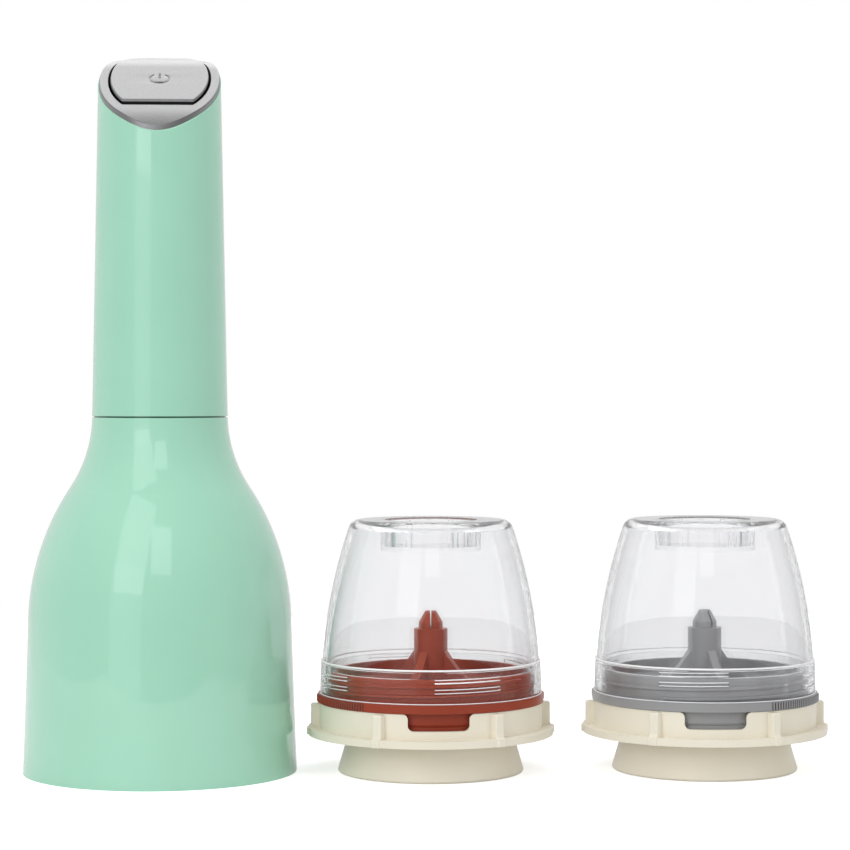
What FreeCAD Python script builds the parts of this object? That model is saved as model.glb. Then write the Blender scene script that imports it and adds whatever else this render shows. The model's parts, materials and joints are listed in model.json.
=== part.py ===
import FreeCAD, Part
import math
import os

from FreeCAD import Vector

# An electric spice grinder: a mill with a slanted push button, and two spice pods beside it.
# Sizes are in millimetres and degrees. The origin is the centre of the mill's mouth, Z is up.

# Mill outside
MOUTH_RIM = 3.25
FLANK_LEAN = 2.0
FLANK_TOP_Z = 45.0
SHOULDER_BEND_R = 73.0
SEAM_GAP = 0.4
SEAM_DEPTH = 0.45
HANDLE_LEAN = 1.1
BELL_WALL = 2.2
HANDLE_WALL = 2.0

# Slanted top
SLANT_ANGLE = 38.0
SLANT_OVER_SWITCH = 26.7
SLANT_FRONT_Y = -12.9
SLANT_BACK_Y = 4.2
SLANT_FRONT_R = 25.0
SLANT_BACK_R = 18.0
SLANT_REACH = 21.0
LIP_H = 1.5
LIP_INSET = 0.3
LIP_ROUND = 0.5
BEZEL_PLUG_DEPTH = 5.5
BEZEL_PLUG_GAP = 0.1

# Button
BEZEL_RIM_W = 2.94
BEZEL_EDGE_R = 0.25
BUTTON_FLAT_Y = -10.9
BUTTON_GAP = 0.6
BUTTON_FRONT_GAP = 1.0
BUTTON_CORNER_R = 0.5
BUTTON_RAISE = 0.7
BUTTON_SKIRT_OVER_RETAINER = 4.0
BUTTON_WALL = 1.8
BUTTON_EDGE_R = 0.5
BUTTON_TRAVEL = 2.0
STEM_R = 3.0
STEM_FIT = 0.08
STEM_HEAD_R = 3.9
STEM_HEAD_H = 1.5
SPRING_SEAT_R = 6.0
SPRING_SEAT_H = 1.0
SPRING_FREE_H = 4.6
SPRING_WALL = 0.8
RETAINER_OVER_SWITCH = 8.1
RETAINER_T = 2.0
RETAINER_GAP = 0.2
LEDGE_T = 2.0
LEDGE_W = 2.0

# Spice pod, heights from the bottom of its foot
FOOT_INSET = 8.4
FOOT_FLARE = 2.95
FOOT_H = 11.0
FOOT_WALL = 1.8
FOOT_EDGE_R = 0.7
FLANGE_W = 3.2
FLANGE_T = 2.1
POD_WALL_R = 32.5
POD_WALL = 1.6
POD_WALL_TOP_Z = 20.3
RIB_COUNT = 6
RIB_FIRST_AZ = 30.0
RIB_DEPTH = 2.4
RIB_W = 2.9
RIB_TOP_DROP = 0.3
RIB_EDGE_R = 0.5
RIB_PAD_DEPTH = 0.4
NOTCH_W = 17.4
NOTCH_DEPTH = 4.8
NOTCH_TOP_R = 1.5
NOTCH_BOTTOM_R = 1.7
SNAP_Z = 16.8
SNAP_H = 1.2
SNAP_DEPTH = 0.45

# Coloured collar of the pod
COLLAR_SKIRT_GAP = 0.4
COLLAR_SKIRT_WALL = 1.6
COLLAR_SKIRT_BOTTOM_Z = 14.2
RIM_OVERHANG = 0.4
RIM_LIFT = 0.15
RIM_TOP_Z = 22.9
NECK_WALL = 2.0
NECK_TOP_Z = 29.6
NECK_CHAMFER_H = 0.6
NECK_CHAMFER_W = 0.5
DECK_EDGE_Z = 25.5
DECK_THROAT_R = 11.5
DECK_THROAT_Z = 20.5
DECK_T = 1.8
THROAT_BOTTOM_Z = 17.2
THROAT_WALL = 1.5
HUB_R = 4.9
HUB_TOP_Z = 41.5
LEG_COUNT = 4
LEG_T = 2.4
LEG_TOP_Z = 35.0
LEG_FOOT_R = 18.5
LEG_SAG = 1.6
THREAD_PITCH = 2.75
THREAD_TURNS = 1.65
THREAD_LEAD_IN = 178.0
THREAD_AT_LUG_Z = 25.03
THREAD_DEPTH = 0.85
THREAD_ROOM = 1.2
THREAD_ROOT_W = 1.25
THREAD_TIP_W = 0.6

# Clear dome of the pod
DOME_INSET = 0.6
DOME_WALL = 1.9
DOME_SKIRT_DRAFT = 0.3
DOME_LEDGE_Z = 32.55
DOME_LEDGE_W = 0.4
DOME_FLANK_LEAN = 4.0
DOME_BEND_R = 155.0
DOME_TOP_Z = 73.3
DOME_CORNER_R = 3.2
SOCKET_R = 13.4
SOCKET_WALL = 1.2
SOCKET_DEPTH = 7.7
SOCKET_FLOOR = 1.3
SPLINE_COUNT = 12
SPLINE_W = 1.6
SPLINE_DEPTH = 1.1
LUG_COUNT = 4
LUG_FIRST = -1
LUG_ROWS = 2
LUG_SPAN = 37.5
LUG_DEPTH = 0.8
SEAL_H = 1.8
SEAL_W = 1.5
SEAL_GAP = 0.12

# Burrs of the pod
BURR_SHAFT_R = 3.0
BURR_SHAFT_FIT = 0.05
PIN_HEAD_R = 3.5
PIN_HEAD_H = 1.8
PIN_TIP_R = 1.6
PIN_CONE_H = 3.3
PIN_SLOT_W = 0.5
PIN_SLOT_FLOOR = 0.4
BURR_FOOT_R = 6.0
BURR_FOOT_H = 1.4
BURR_BOTTOM_Z = 4.5
BURR_TOP_Z = 16.2
BURR_BOTTOM_R = 12.6
BURR_TOP_R = 7.6
BURR_TEETH = 15
BURR_TOOTH_DEPTH = 1.5
BURR_TWIST = 24.0
BURR_BACK_SHARE = 0.3
BURR_FACE_SHARE = 0.85
RING_BURR_R = 15.6
RING_BURR_BOTTOM_Z = 3.2
RING_BURR_TOP_Z = 13.6
RING_BURR_TEETH = 20
RING_TOOTH_DEPTH = 1.1
RING_TOP_FLARE = 1.2
BURR_RUN_GAP = 0.4
SEAT_GAP = 0.05
SEAT_WALL = 1.9
SEAT_LIP_W = 0.8
SEAT_LIP_H = 0.8
SEAT_RIM_H = 1.6
WASHER_R = 6.5
WASHER_T = 0.8
WASHER_FIT = 0.2

# Pods on the surface beside the mill
POD_NAMES = ("pod_1", "pod_2")
POD_SPACES = (2.95, 8.3)
POD_Y = -4.2
BASE_TURNS = (1.0, -3.5)
LEG_TURNS = (-27.0, 16.0)
LUG_TURNS = (-1.0, 146.0)
SLOT_TURNS = (0.0, 28.0)

# Mouth and pod chamber of the mill
MOUTH_GAP = 0.4
MOUTH_DEPTH = 4.5
CHAMBER_RING_GAP = 0.2
CHAMBER_RING_H = 9.5
GUIDE_GAP = 0.5
KEY_GAP = 0.5
KEY_HEADROOM = 1.5
DOME_ROOM = 1.3
CHAMBER_WALL = 1.6
POD_HEADROOM = 1.0
CHAMBER_DECK_T = 3.0
CLIP_COUNT = 3
CLIP_W = 8.0
CLIP_T = 0.4
CLIP_POCKET_GAP = 0.5
CLIP_BITE = 0.8
CLIP_LENGTH = 15.0

# Screws
SCREW_R = 1.0
SCREW_HEAD_R = 1.9
SCREW_HEAD_H = 1.3
SCREW_FIT = 0.1
SCREW_SLOT_W = 0.5
SCREW_SLOT_DEPTH = 0.5
CHAMBER_SCREW_COUNT = 3
CHAMBER_SCREW_AT_R = 21.0
CHAMBER_SCREW_AZ = 180.0
CHAMBER_SCREW_L = 9.0
BOSS_R = 2.9

# Planetary gearbox
GEAR_MODULE = 0.65
SUN_TEETH = 9
PLANET_TEETH = 18
PLANET_COUNT = 3
PRESSURE_ANGLE = 20.0
ADDENDUM = 1.0
DEDENDUM = 1.2
RING_ADDENDUM = 0.9
RING_DEDENDUM = 1.25
TOOTH_SLACK = 0.14
GEAR_H = 5.0
GEAR_END_GAP = 0.3
GEARBOX_R = 17.0
GEARBOX_FLOOR_T = 2.0
CARRIER_ROOM_H = 2.3
CARRIER_ROOM_R = 13.2
CARRIER_R = 12.2
CARRIER_T = 1.9
PLANET_PIN_R = 0.95
PLANET_PIN_FIT = 0.05
EAR_R = 2.8
EAR_AT_R = 18.8
COVER_T = 2.0

# Motor
MOTOR_R = 12.1
MOTOR_L = 27.0
MOTOR_EDGE_R = 1.0
MOTOR_BOSS_R = 3.0
MOTOR_BOSS_H = 1.6
MOTOR_SHAFT_R = 1.0
MOTOR_SHAFT_FIT = 0.05
MOTOR_SCREW_AT_R = 8.0
MOTOR_SCREW_BITE = 2.0
END_CAP_R = 11.4
END_CAP_T = 2.2
END_BOSS_R = 3.5
END_BOSS_H = 1.2
TERMINAL_AT_R = 7.5
TERMINAL_W = 2.4
TERMINAL_T = 0.5
TERMINAL_H = 3.4

# Drive coupler below the chamber deck
OUTPUT_SHAFT_R = 4.0
OUTPUT_SHAFT_FIT = 0.05
OUTPUT_FLAT = 3.2
BUSHING_R = 6.0
COUPLER_GAP = 0.3
COUPLER_TOP_GAP = 0.4
COUPLER_BOTTOM_GAP = 0.6
COUPLER_CHAMFER = 1.0
COUPLER_SCREW_R = 1.2
COUPLER_SCREW_HEAD_R = 2.6
COUPLER_SCREW_HEAD_H = 1.7
COUPLER_SCREW_L = 7.0

# Spigot that carries the handle, and the battery tower on it
SPIGOT_OVER_MOTOR = 7.6
SPIGOT_H = 11.7
SPIGOT_GAP = 0.2
SPIGOT_WALL = 1.8
NECK_FLOOR_DROP = 6.3
NECK_RING_RISE = 5.7
NECK_RING_H = 1.8
NECK_RING_DEPTH = 0.9
NECK_RING_PLAY = 0.06
HOLDER_FIT = 0.15
HOLDER_PLUG_H = 3.5
HOLDER_FLANGE_T = 2.5
HOLDER_SCREW_AT_R = 12.4
HOLDER_BOSS_R = 3.4
HOLDER_BOSS_H = 3.3
HOLDER_SCREW_L = 9.0
HOLDER_CENTRE_HOLE_R = 5.0
CELL_R = 5.25
CELL_L = 44.5
CELL_EDGE_R = 0.5
CELL_NUB_R = 1.9
CELL_NUB_H = 1.0
CELL_WEB = 1.0
CELL_GAP = 0.15
TUBE_WALL = 1.1
TOWER_ROOM = 2.83
TUBE_WINDOW_W = 11.2
CONTACT_T = 0.4
CONTACT_W = 6.0
CONTACT_LEAF_H = 0.5
HOLDER_TOP_T = 2.5

# Switch on the tower
BOARD_R = 13.4
BOARD_T = 1.6
SWITCH_SIZE = (12.8, 6.0, 6.5)
PLUNGER_R = 1.6
PLUNGER_FIT = 0.05
PLUNGER_GAP = 0.3
PLUNGER_SUNK = 4.1

# A length that is sure to pass the part's edges when something is cut away
FAR = 300.0

# A distance below which two places count as one
TOUCH = 0.001


# Angles and places


def sin(angle):
    return math.sin(math.radians(angle))


def cos(angle):
    return math.cos(math.radians(angle))


def tan(angle):
    return math.tan(math.radians(angle))


def around(azimuth, radius):
    """X and Y of a point round the Z axis. Azimuth 0 is the front, and it grows towards +X."""
    return radius * sin(azimuth), -radius * cos(azimuth)


def turned(shape, azimuth):
    """A copy of a shape that was made at the front, turned round Z by an azimuth."""
    copy = shape.copy()
    copy.rotate(Vector(0, 0, 0), Vector(0, 0, 1), azimuth)
    return copy


def moved(shape, x=0.0, y=0.0, z=0.0):
    copy = shape.copy()
    copy.translate(Vector(x, y, z))
    return copy


# Simple solids


def rod(radius, bottom, top, x=0.0, y=0.0):
    return Part.makeCylinder(radius, top - bottom, Vector(x, y, bottom))


def tube(outer, inner, bottom, top):
    return rod(outer, bottom, top).cut(rod(inner, bottom, top))


def block(x0, x1, y0, y1, z0, z1):
    return Part.makeBox(x1 - x0, y1 - y0, z1 - z0, Vector(x0, y0, z0))


def joined(shapes):
    first, *others = shapes
    return first.fuse(others).removeSplitter()


def extruded(points, direction):
    """A flat closed outline of corner points, pushed along a direction."""
    return Part.Face(Part.makePolygon(points + points[:1])).extrude(direction)


class Outline:
    """A closed outline of lines and arcs in the plane of radius and height."""

    def __init__(self, radius, height):
        self.start = Vector(radius, 0, height)
        self.tip = self.start
        self.edges = []

    def to(self, *corners):
        for radius, height in corners:
            point = Vector(radius, 0, height)
            self.edges.append(Part.LineSegment(self.tip, point).toShape())
            self.tip = point
        return self

    def bend(self, middle, end):
        middle = Vector(middle[0], 0, middle[1])
        end = Vector(end[0], 0, end[1])
        self.edges.append(Part.Arc(self.tip, middle, end).toShape())
        self.tip = end
        return self

    def face(self):
        if (self.tip - self.start).Length > TOUCH:
            self.to((self.start.x, self.start.z))
        return Part.Face(Part.Wire(self.edges))

    def solid(self):
        return self.face().revolve(Vector(0, 0, 0), Vector(0, 0, 1), 360)

    def plate(self, width):
        """The outline as an upright plate that stands out from the axis at the front."""
        return turned(moved(self.face().extrude(Vector(0, width, 0)), y=-width / 2), -90)


def leaning_arc(start, lean_from, lean_to, radius):
    """Middle and end of a rising arc whose lean from the vertical changes steadily.

    It bulges outwards where the lean grows and inwards where it falls.
    """
    sign = 1 if lean_to > lean_from else -1

    def point(lean):
        run = sign * radius * (cos(lean) - cos(lean_from))
        rise = sign * radius * (sin(lean) - sin(lean_from))
        return start[0] + run, start[1] + rise

    return point((lean_from + lean_to) / 2), point(lean_to)


def screw(shank_r, length, head_r, head_h):
    """A screw whose head's underside is at height 0 and whose shank goes up."""
    head = rod(head_r, -head_h, 0)
    slot = block(-head_r, head_r, -SCREW_SLOT_W / 2, SCREW_SLOT_W / 2, -head_h, SCREW_SLOT_DEPTH - head_h)
    return joined([head.cut(slot), rod(shank_r, 0, length)])


def upside_down(shape):
    copy = shape.copy()
    copy.rotate(Vector(0, 0, 0), Vector(1, 0, 0), 180)
    return copy


# Radii that follow from each other, out from the pod's wall and from the battery cells


RIB_R = POD_WALL_R + RIB_DEPTH
FLANGE_R = POD_WALL_R + FLANGE_W
RIB_PAD_R = FLANGE_R + RIB_PAD_DEPTH
FOOT_TOP_R = POD_WALL_R - FOOT_INSET
FOOT_BOTTOM_R = FOOT_TOP_R + FOOT_FLARE
RIM_R = POD_WALL_R + RIM_OVERHANG
DOME_R = RIM_R - DOME_INSET
DOME_SKIRT_TOP_R = DOME_R - DOME_SKIRT_DRAFT
DOME_BORE_R = DOME_R - DOME_WALL
NECK_R = DOME_BORE_R - THREAD_ROOM
MOUTH_R = RIB_PAD_R + MOUTH_GAP
BASE_R = MOUTH_R + MOUTH_RIM
POD_1_X = BASE_R + RIB_PAD_R + POD_SPACES[0]
POD_X = (POD_1_X, POD_1_X + 2 * RIB_PAD_R + POD_SPACES[1])
CELL_AT = CELL_R + CELL_GAP + CELL_WEB / 2
TUBE_BORE_R = CELL_AT * math.sqrt(2) + CELL_R + CELL_GAP
TUBE_R = TUBE_BORE_R + TUBE_WALL
SEAM_R = TUBE_R + TOWER_ROOM + HANDLE_WALL


# Levels inside the mill, from the pod that it takes up to the switch


GUIDE_R = RIM_R + GUIDE_GAP
CHAMBER_DECK_Z = DOME_TOP_Z - FOOT_H + POD_HEADROOM
CHAMBER_TOP_Z = CHAMBER_DECK_Z + CHAMBER_DECK_T
CARRIER_Z = CHAMBER_TOP_Z + GEARBOX_FLOOR_T + GEAR_END_GAP
RING_GEAR_Z = CHAMBER_TOP_Z + GEARBOX_FLOOR_T + CARRIER_ROOM_H
GEAR_Z = RING_GEAR_Z + GEAR_END_GAP
COVER_Z = GEAR_Z + GEAR_H + GEAR_END_GAP
MOTOR_Z = COVER_Z + COVER_T
MOTOR_TOP_Z = MOTOR_Z + MOTOR_L
END_CAP_TOP_Z = MOTOR_TOP_Z + END_CAP_T
PLANET_ORBIT_R = GEAR_MODULE * (SUN_TEETH + PLANET_TEETH) / 2
RING_TEETH = SUN_TEETH + 2 * PLANET_TEETH
SPIGOT_TOP_Z = END_CAP_TOP_Z + SPIGOT_OVER_MOTOR
SEAM_Z = SPIGOT_TOP_Z - SPIGOT_H
NECK_FLOOR_Z = SEAM_Z - NECK_FLOOR_DROP
NECK_RING_Z = SEAM_Z + NECK_RING_RISE
HOLDER_BOTTOM_Z = SPIGOT_TOP_Z - HOLDER_PLUG_H
HOLDER_FLOOR_Z = SPIGOT_TOP_Z + HOLDER_FLANGE_T
CELL_Z = HOLDER_FLOOR_Z + CONTACT_T + CONTACT_LEAF_H
HOLDER_CEILING_Z = CELL_Z + CELL_L + CELL_NUB_H + CONTACT_T
HOLDER_TOP_Z = HOLDER_CEILING_Z + HOLDER_TOP_T
SWITCH_Z = HOLDER_TOP_Z + BOARD_T
SWITCH_TOP_Z = SWITCH_Z + SWITCH_SIZE[2]
SLANT_MID_Z = SWITCH_TOP_Z + SLANT_OVER_SWITCH
RETAINER_TOP_Z = SWITCH_TOP_Z + RETAINER_OVER_SWITCH
BUTTON_SKIRT_Z = RETAINER_TOP_Z + BUTTON_SKIRT_OVER_RETAINER
STEM_BOTTOM_Z = RETAINER_TOP_Z - RETAINER_T - STEM_HEAD_H - STEM_HEAD_R + STEM_R
PLUNGER_TOP_Z = STEM_BOTTOM_Z - PLUNGER_GAP


# Outer forms of the mill


FLANK_TOP_R = BASE_R - FLANK_TOP_Z * tan(FLANK_LEAN)
SLANT_TOP_Z = SLANT_MID_Z + SLANT_FRONT_R + SLANT_REACH


def neck_from(lean):
    """The neck's bend radius and its end, for the lean at which the shoulder passes into the neck."""
    end = leaning_arc((FLANK_TOP_R, FLANK_TOP_Z), FLANK_LEAN, lean, SHOULDER_BEND_R)[1]
    neck_bend_r = (SEAM_Z - end[1]) / (sin(lean) - sin(HANDLE_LEAN))
    return neck_bend_r, leaning_arc(end, lean, HANDLE_LEAN, neck_bend_r)[1]


def meeting_lean():
    """The lean that brings the neck to the handle's radius at the seam, found by halving."""
    low, high = FLANK_LEAN, 90 - FLANK_LEAN
    while high - low > TOUCH:
        middle = (low + high) / 2
        if neck_from(middle)[1][0] > SEAM_R:
            low = middle
        else:
            high = middle
    return (low + high) / 2


SHOULDER_LEAN = meeting_lean()
NECK_BEND_R, NECK_END = neck_from(SHOULDER_LEAN)


def handle_r(height):
    return NECK_END[0] - (height - SEAM_Z) * tan(HANDLE_LEAN)


BUTTON_OPENING_R = handle_r(SLANT_MID_Z) - BEZEL_RIM_W
SPIGOT_R = handle_r(SPIGOT_TOP_Z) - HANDLE_WALL - SPIGOT_GAP
SPIGOT_BORE_R = SPIGOT_R - SPIGOT_WALL


def bell_line(depth):
    """Flank top, then shoulder and neck arcs, at a depth below the bell's surface."""
    flank = (FLANK_TOP_R - depth * cos(FLANK_LEAN), FLANK_TOP_Z - depth * sin(FLANK_LEAN))
    shoulder = leaning_arc(flank, FLANK_LEAN, SHOULDER_LEAN, SHOULDER_BEND_R - depth)
    neck = leaning_arc(shoulder[1], SHOULDER_LEAN, HANDLE_LEAN, NECK_BEND_R + depth)
    return flank, shoulder, neck


def flank_r(height, depth):
    return BASE_R - height * tan(FLANK_LEAN) - depth / cos(FLANK_LEAN)


def handle_cone(inset):
    """The handle's tapered form, drawn in from its surface by an inset."""
    low = SEAM_Z - SEAM_GAP
    top_r = handle_r(SLANT_TOP_Z) - inset
    return Part.makeCone(handle_r(low) - inset, top_r, SLANT_TOP_Z - low, Vector(0, 0, low))


def below_slant(lift):
    """Everything under the slanted top, raised by a lift. The slant rolls over at both ends."""

    def roll(tangent_y, radius, slope):
        centre_y = tangent_y + radius * sin(SLANT_ANGLE)
        centre_z = SLANT_MID_Z + tan(SLANT_ANGLE) * tangent_y - radius * cos(SLANT_ANGLE)
        return Vector(0, centre_y - radius * sin(slope), centre_z + radius * cos(slope) + lift)

    def arc(tangent_y, radius, end_y):
        end = math.degrees(math.asin(sin(SLANT_ANGLE) + (tangent_y - end_y) / radius))
        return [roll(tangent_y, radius, slope) for slope in (SLANT_ANGLE, (SLANT_ANGLE + end) / 2, end)]

    front = arc(SLANT_FRONT_Y, SLANT_FRONT_R, -SLANT_REACH)
    back = arc(SLANT_BACK_Y, SLANT_BACK_R, SLANT_REACH)
    floor_front = Vector(0, -SLANT_REACH, SEAM_Z - FAR)
    floor_back = Vector(0, SLANT_REACH, SEAM_Z - FAR)
    edges = [
        Part.LineSegment(floor_front, front[2]),
        Part.Arc(*front[::-1]),
        Part.LineSegment(front[0], back[0]),
        Part.Arc(*back),
        Part.LineSegment(back[2], floor_back),
        Part.LineSegment(floor_back, floor_front),
    ]
    face = Part.Face(Part.Wire([edge.toShape() for edge in edges]))
    return moved(face.extrude(Vector(2 * SLANT_REACH, 0, 0)), x=-SLANT_REACH)


def button_prism(gap, front_gap, bottom):
    """The button's round form with a flat front, drawn in from the bezel's opening by its gaps."""
    round_part = rod(BUTTON_OPENING_R - gap, bottom, SLANT_TOP_Z)
    kept = block(-FAR, FAR, BUTTON_FLAT_Y + front_gap, FAR, bottom, SLANT_TOP_Z)
    prism = round_part.common(kept)
    corners = [edge for edge in prism.Edges if is_upright(edge) and edge.Vertexes[0].Y < 0]
    return prism.makeFillet(BUTTON_CORNER_R, corners)


def rounded_top(form, radius):
    """A form under the slanted top, with its upper rim rounded.

    The rim leaves out the edges that reach the form's bottom and the seams across the slant.
    """
    floor = form.BoundBox.ZMin + radius
    rim = [edge for edge in form.Edges if edge.BoundBox.ZMin > floor and not is_seam(edge)]
    return form.makeFillet(radius, rim)


def is_seam(edge):
    """True for a line across the slant where its flat part meets a rolled one."""
    away = min(abs(edge.BoundBox.YMin - y) for y in (SLANT_FRONT_Y, SLANT_BACK_Y))
    return edge.BoundBox.YLength + away < TOUCH


def is_upright(edge):
    ends = [vertex.Point for vertex in edge.Vertexes]
    if len(ends) != 2:
        return False
    return math.hypot(ends[0].x - ends[1].x, ends[0].y - ends[1].y) < TOUCH


# Outer forms of the pod


LEDGE_R = DOME_SKIRT_TOP_R - DOME_LEDGE_W
NECK_BORE_R = NECK_R - NECK_WALL
RIM_BOTTOM_Z = POD_WALL_TOP_Z + RIM_LIFT
FLANGE_TOP_Z = FOOT_H + FLANGE_T
DOME_SHOULDER_Z = NECK_TOP_Z + SEAL_H + 2 * SEAL_GAP
DOME_SIDE_H = DOME_TOP_Z - DOME_LEDGE_Z - DOME_CORNER_R + DOME_BEND_R * sin(DOME_FLANK_LEAN)
DOME_TOP_LEAN = math.degrees(math.asin(DOME_SIDE_H / (DOME_BEND_R - DOME_CORNER_R)))


def dome_line(depth):
    """The dome's side from its ledge to its top corner, at a depth below its surface."""
    start = (LEDGE_R - depth * cos(DOME_FLANK_LEAN), DOME_LEDGE_Z - depth * sin(DOME_FLANK_LEAN))
    return start, leaning_arc(start, DOME_FLANK_LEAN, DOME_TOP_LEAN, DOME_BEND_R - depth)


def helical_ridge(radius, depth, phase, span, height):
    """A ridge that climbs round Z: outwards for a positive depth and inwards for a negative one.

    It starts at an azimuth and a height, and its root is sunk a little into the wall it stands on.
    """
    root = radius - math.copysign(THREAD_TIP_W / 2, depth)
    tip = radius + depth
    helix = Part.makeHelix(THREAD_PITCH, THREAD_PITCH * span / 360, radius)
    section = Part.makePolygon([
        Vector(root, 0, -THREAD_ROOT_W / 2),
        Vector(tip, 0, -THREAD_TIP_W / 2),
        Vector(tip, 0, THREAD_TIP_W / 2),
        Vector(root, 0, THREAD_ROOT_W / 2),
        Vector(root, 0, -THREAD_ROOT_W / 2),
    ])
    ridge = Part.Wire(helix.Edges).makePipeShell([section], True, True)
    return moved(turned(ridge, phase - 90), z=height)


def thread_z(azimuth):
    """Height of the collar's thread at an azimuth from the dome's lug, on its first turn past it."""
    return THREAD_AT_LUG_Z + THREAD_PITCH * azimuth / 360


# Pieces of the pod


def pod_base():
    seat_r = RING_BURR_R + SEAT_GAP
    seat_outer = seat_r + SEAT_WALL
    lip_bottom = RING_BURR_BOTTOM_Z - SEAT_LIP_H
    bore = POD_WALL_R - POD_WALL
    outline = Outline(seat_r - SEAT_LIP_W, lip_bottom)
    outline.to((seat_outer, lip_bottom), (seat_outer, FOOT_H), (FOOT_TOP_R - FOOT_WALL, FOOT_H))
    outline.to((FOOT_BOTTOM_R - FOOT_WALL, 0), (FOOT_BOTTOM_R - FOOT_EDGE_R, 0))
    outline.bend((FOOT_BOTTOM_R - FOOT_EDGE_R * (1 - sin(45)), FOOT_EDGE_R * (1 - cos(45))),
                 (FOOT_BOTTOM_R, FOOT_EDGE_R))
    outline.to((FOOT_TOP_R, FOOT_H), (FLANGE_R, FOOT_H))
    outline.to((FLANGE_R, FLANGE_TOP_Z), (POD_WALL_R, FLANGE_TOP_Z))
    outline.to((POD_WALL_R, POD_WALL_TOP_Z), (bore, POD_WALL_TOP_Z), (bore, SNAP_Z + SNAP_H / 2))
    outline.to((bore + SNAP_DEPTH, SNAP_Z + SNAP_H / 4), (bore + SNAP_DEPTH, SNAP_Z - SNAP_H / 4))
    outline.to((bore, SNAP_Z - SNAP_H / 2), (bore, FLANGE_TOP_Z), (seat_outer, FLANGE_TOP_Z))
    outline.to((seat_outer, FLANGE_TOP_Z + SEAT_RIM_H), (seat_r, FLANGE_TOP_Z + SEAT_RIM_H))
    outline.to((seat_r, RING_BURR_BOTTOM_Z), (seat_r - SEAT_LIP_W, RING_BURR_BOTTOM_Z))
    ribs = [turned(grip_rib(), RIB_FIRST_AZ + 360 / RIB_COUNT * i) for i in range(RIB_COUNT)]
    body = joined([outline.solid()] + ribs)
    return body.cut([notch(), turned(notch(), 180)])


def grip_rib():
    """One upright rib on the pod's wall, with rounded edges and a pad over the flange's edge."""
    top = POD_WALL_TOP_Z - RIB_TOP_DROP
    root = POD_WALL_R - POD_WALL / 2
    bend = RIB_PAD_R - RIB_R
    outline = Outline(root, FOOT_H)
    outline.to((RIB_PAD_R, FOOT_H), (RIB_PAD_R, FLANGE_TOP_Z))
    outline.bend((RIB_PAD_R - bend * sin(45), FLANGE_TOP_Z + bend * (1 - cos(45))),
                 (RIB_R, FLANGE_TOP_Z + bend))
    outline.to((RIB_R, top), (root, top))
    rib = outline.plate(RIB_W)

    def is_outer(edge):
        box = edge.BoundBox
        if box.YMin > TOUCH - POD_WALL_R or box.ZMax < FLANGE_TOP_Z - TOUCH:
            return False
        return box.XLength < TOUCH or box.ZMin > top - TOUCH

    return rib.makeFillet(RIB_EDGE_R, [edge for edge in rib.Edges if is_outer(edge)])


def notch():
    """The cutter for a finger notch in the wall, wider at its rounded mouth."""
    half = NOTCH_W / 2
    floor = POD_WALL_TOP_Z - NOTCH_DEPTH
    mouth = POD_WALL_TOP_Z
    diagonal = 1 - cos(45)

    def side(sign):
        low = Vector(sign * (half - NOTCH_BOTTOM_R), 0, floor)
        low_mid = Vector(sign * (half - NOTCH_BOTTOM_R * diagonal), 0, floor + NOTCH_BOTTOM_R * diagonal)
        low_end = Vector(sign * half, 0, floor + NOTCH_BOTTOM_R)
        high = Vector(sign * half, 0, mouth - NOTCH_TOP_R)
        high_mid = Vector(sign * (half + NOTCH_TOP_R * diagonal), 0, mouth - NOTCH_TOP_R * diagonal)
        high_end = Vector(sign * (half + NOTCH_TOP_R), 0, mouth)
        return low, low_mid, low_end, high, high_mid, high_end

    left = side(-1)
    right = side(1)
    above = Vector(0, 0, NOTCH_DEPTH)
    edges = [
        Part.LineSegment(left[0], right[0]),
        Part.Arc(*right[:3]),
        Part.LineSegment(right[2], right[3]),
        Part.Arc(*right[3:]),
        Part.LineSegment(right[5], right[5] + above),
        Part.LineSegment(right[5] + above, left[5] + above),
        Part.LineSegment(left[5] + above, left[5]),
        Part.Arc(*left[3:]),
        Part.LineSegment(left[3], left[2]),
        Part.Arc(*left[:3]),
    ]
    wire = Part.Wire(Part.__sortEdges__([edge.toShape() for edge in edges]))
    return Part.Face(wire).extrude(Vector(0, -FLANGE_R, 0))


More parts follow.
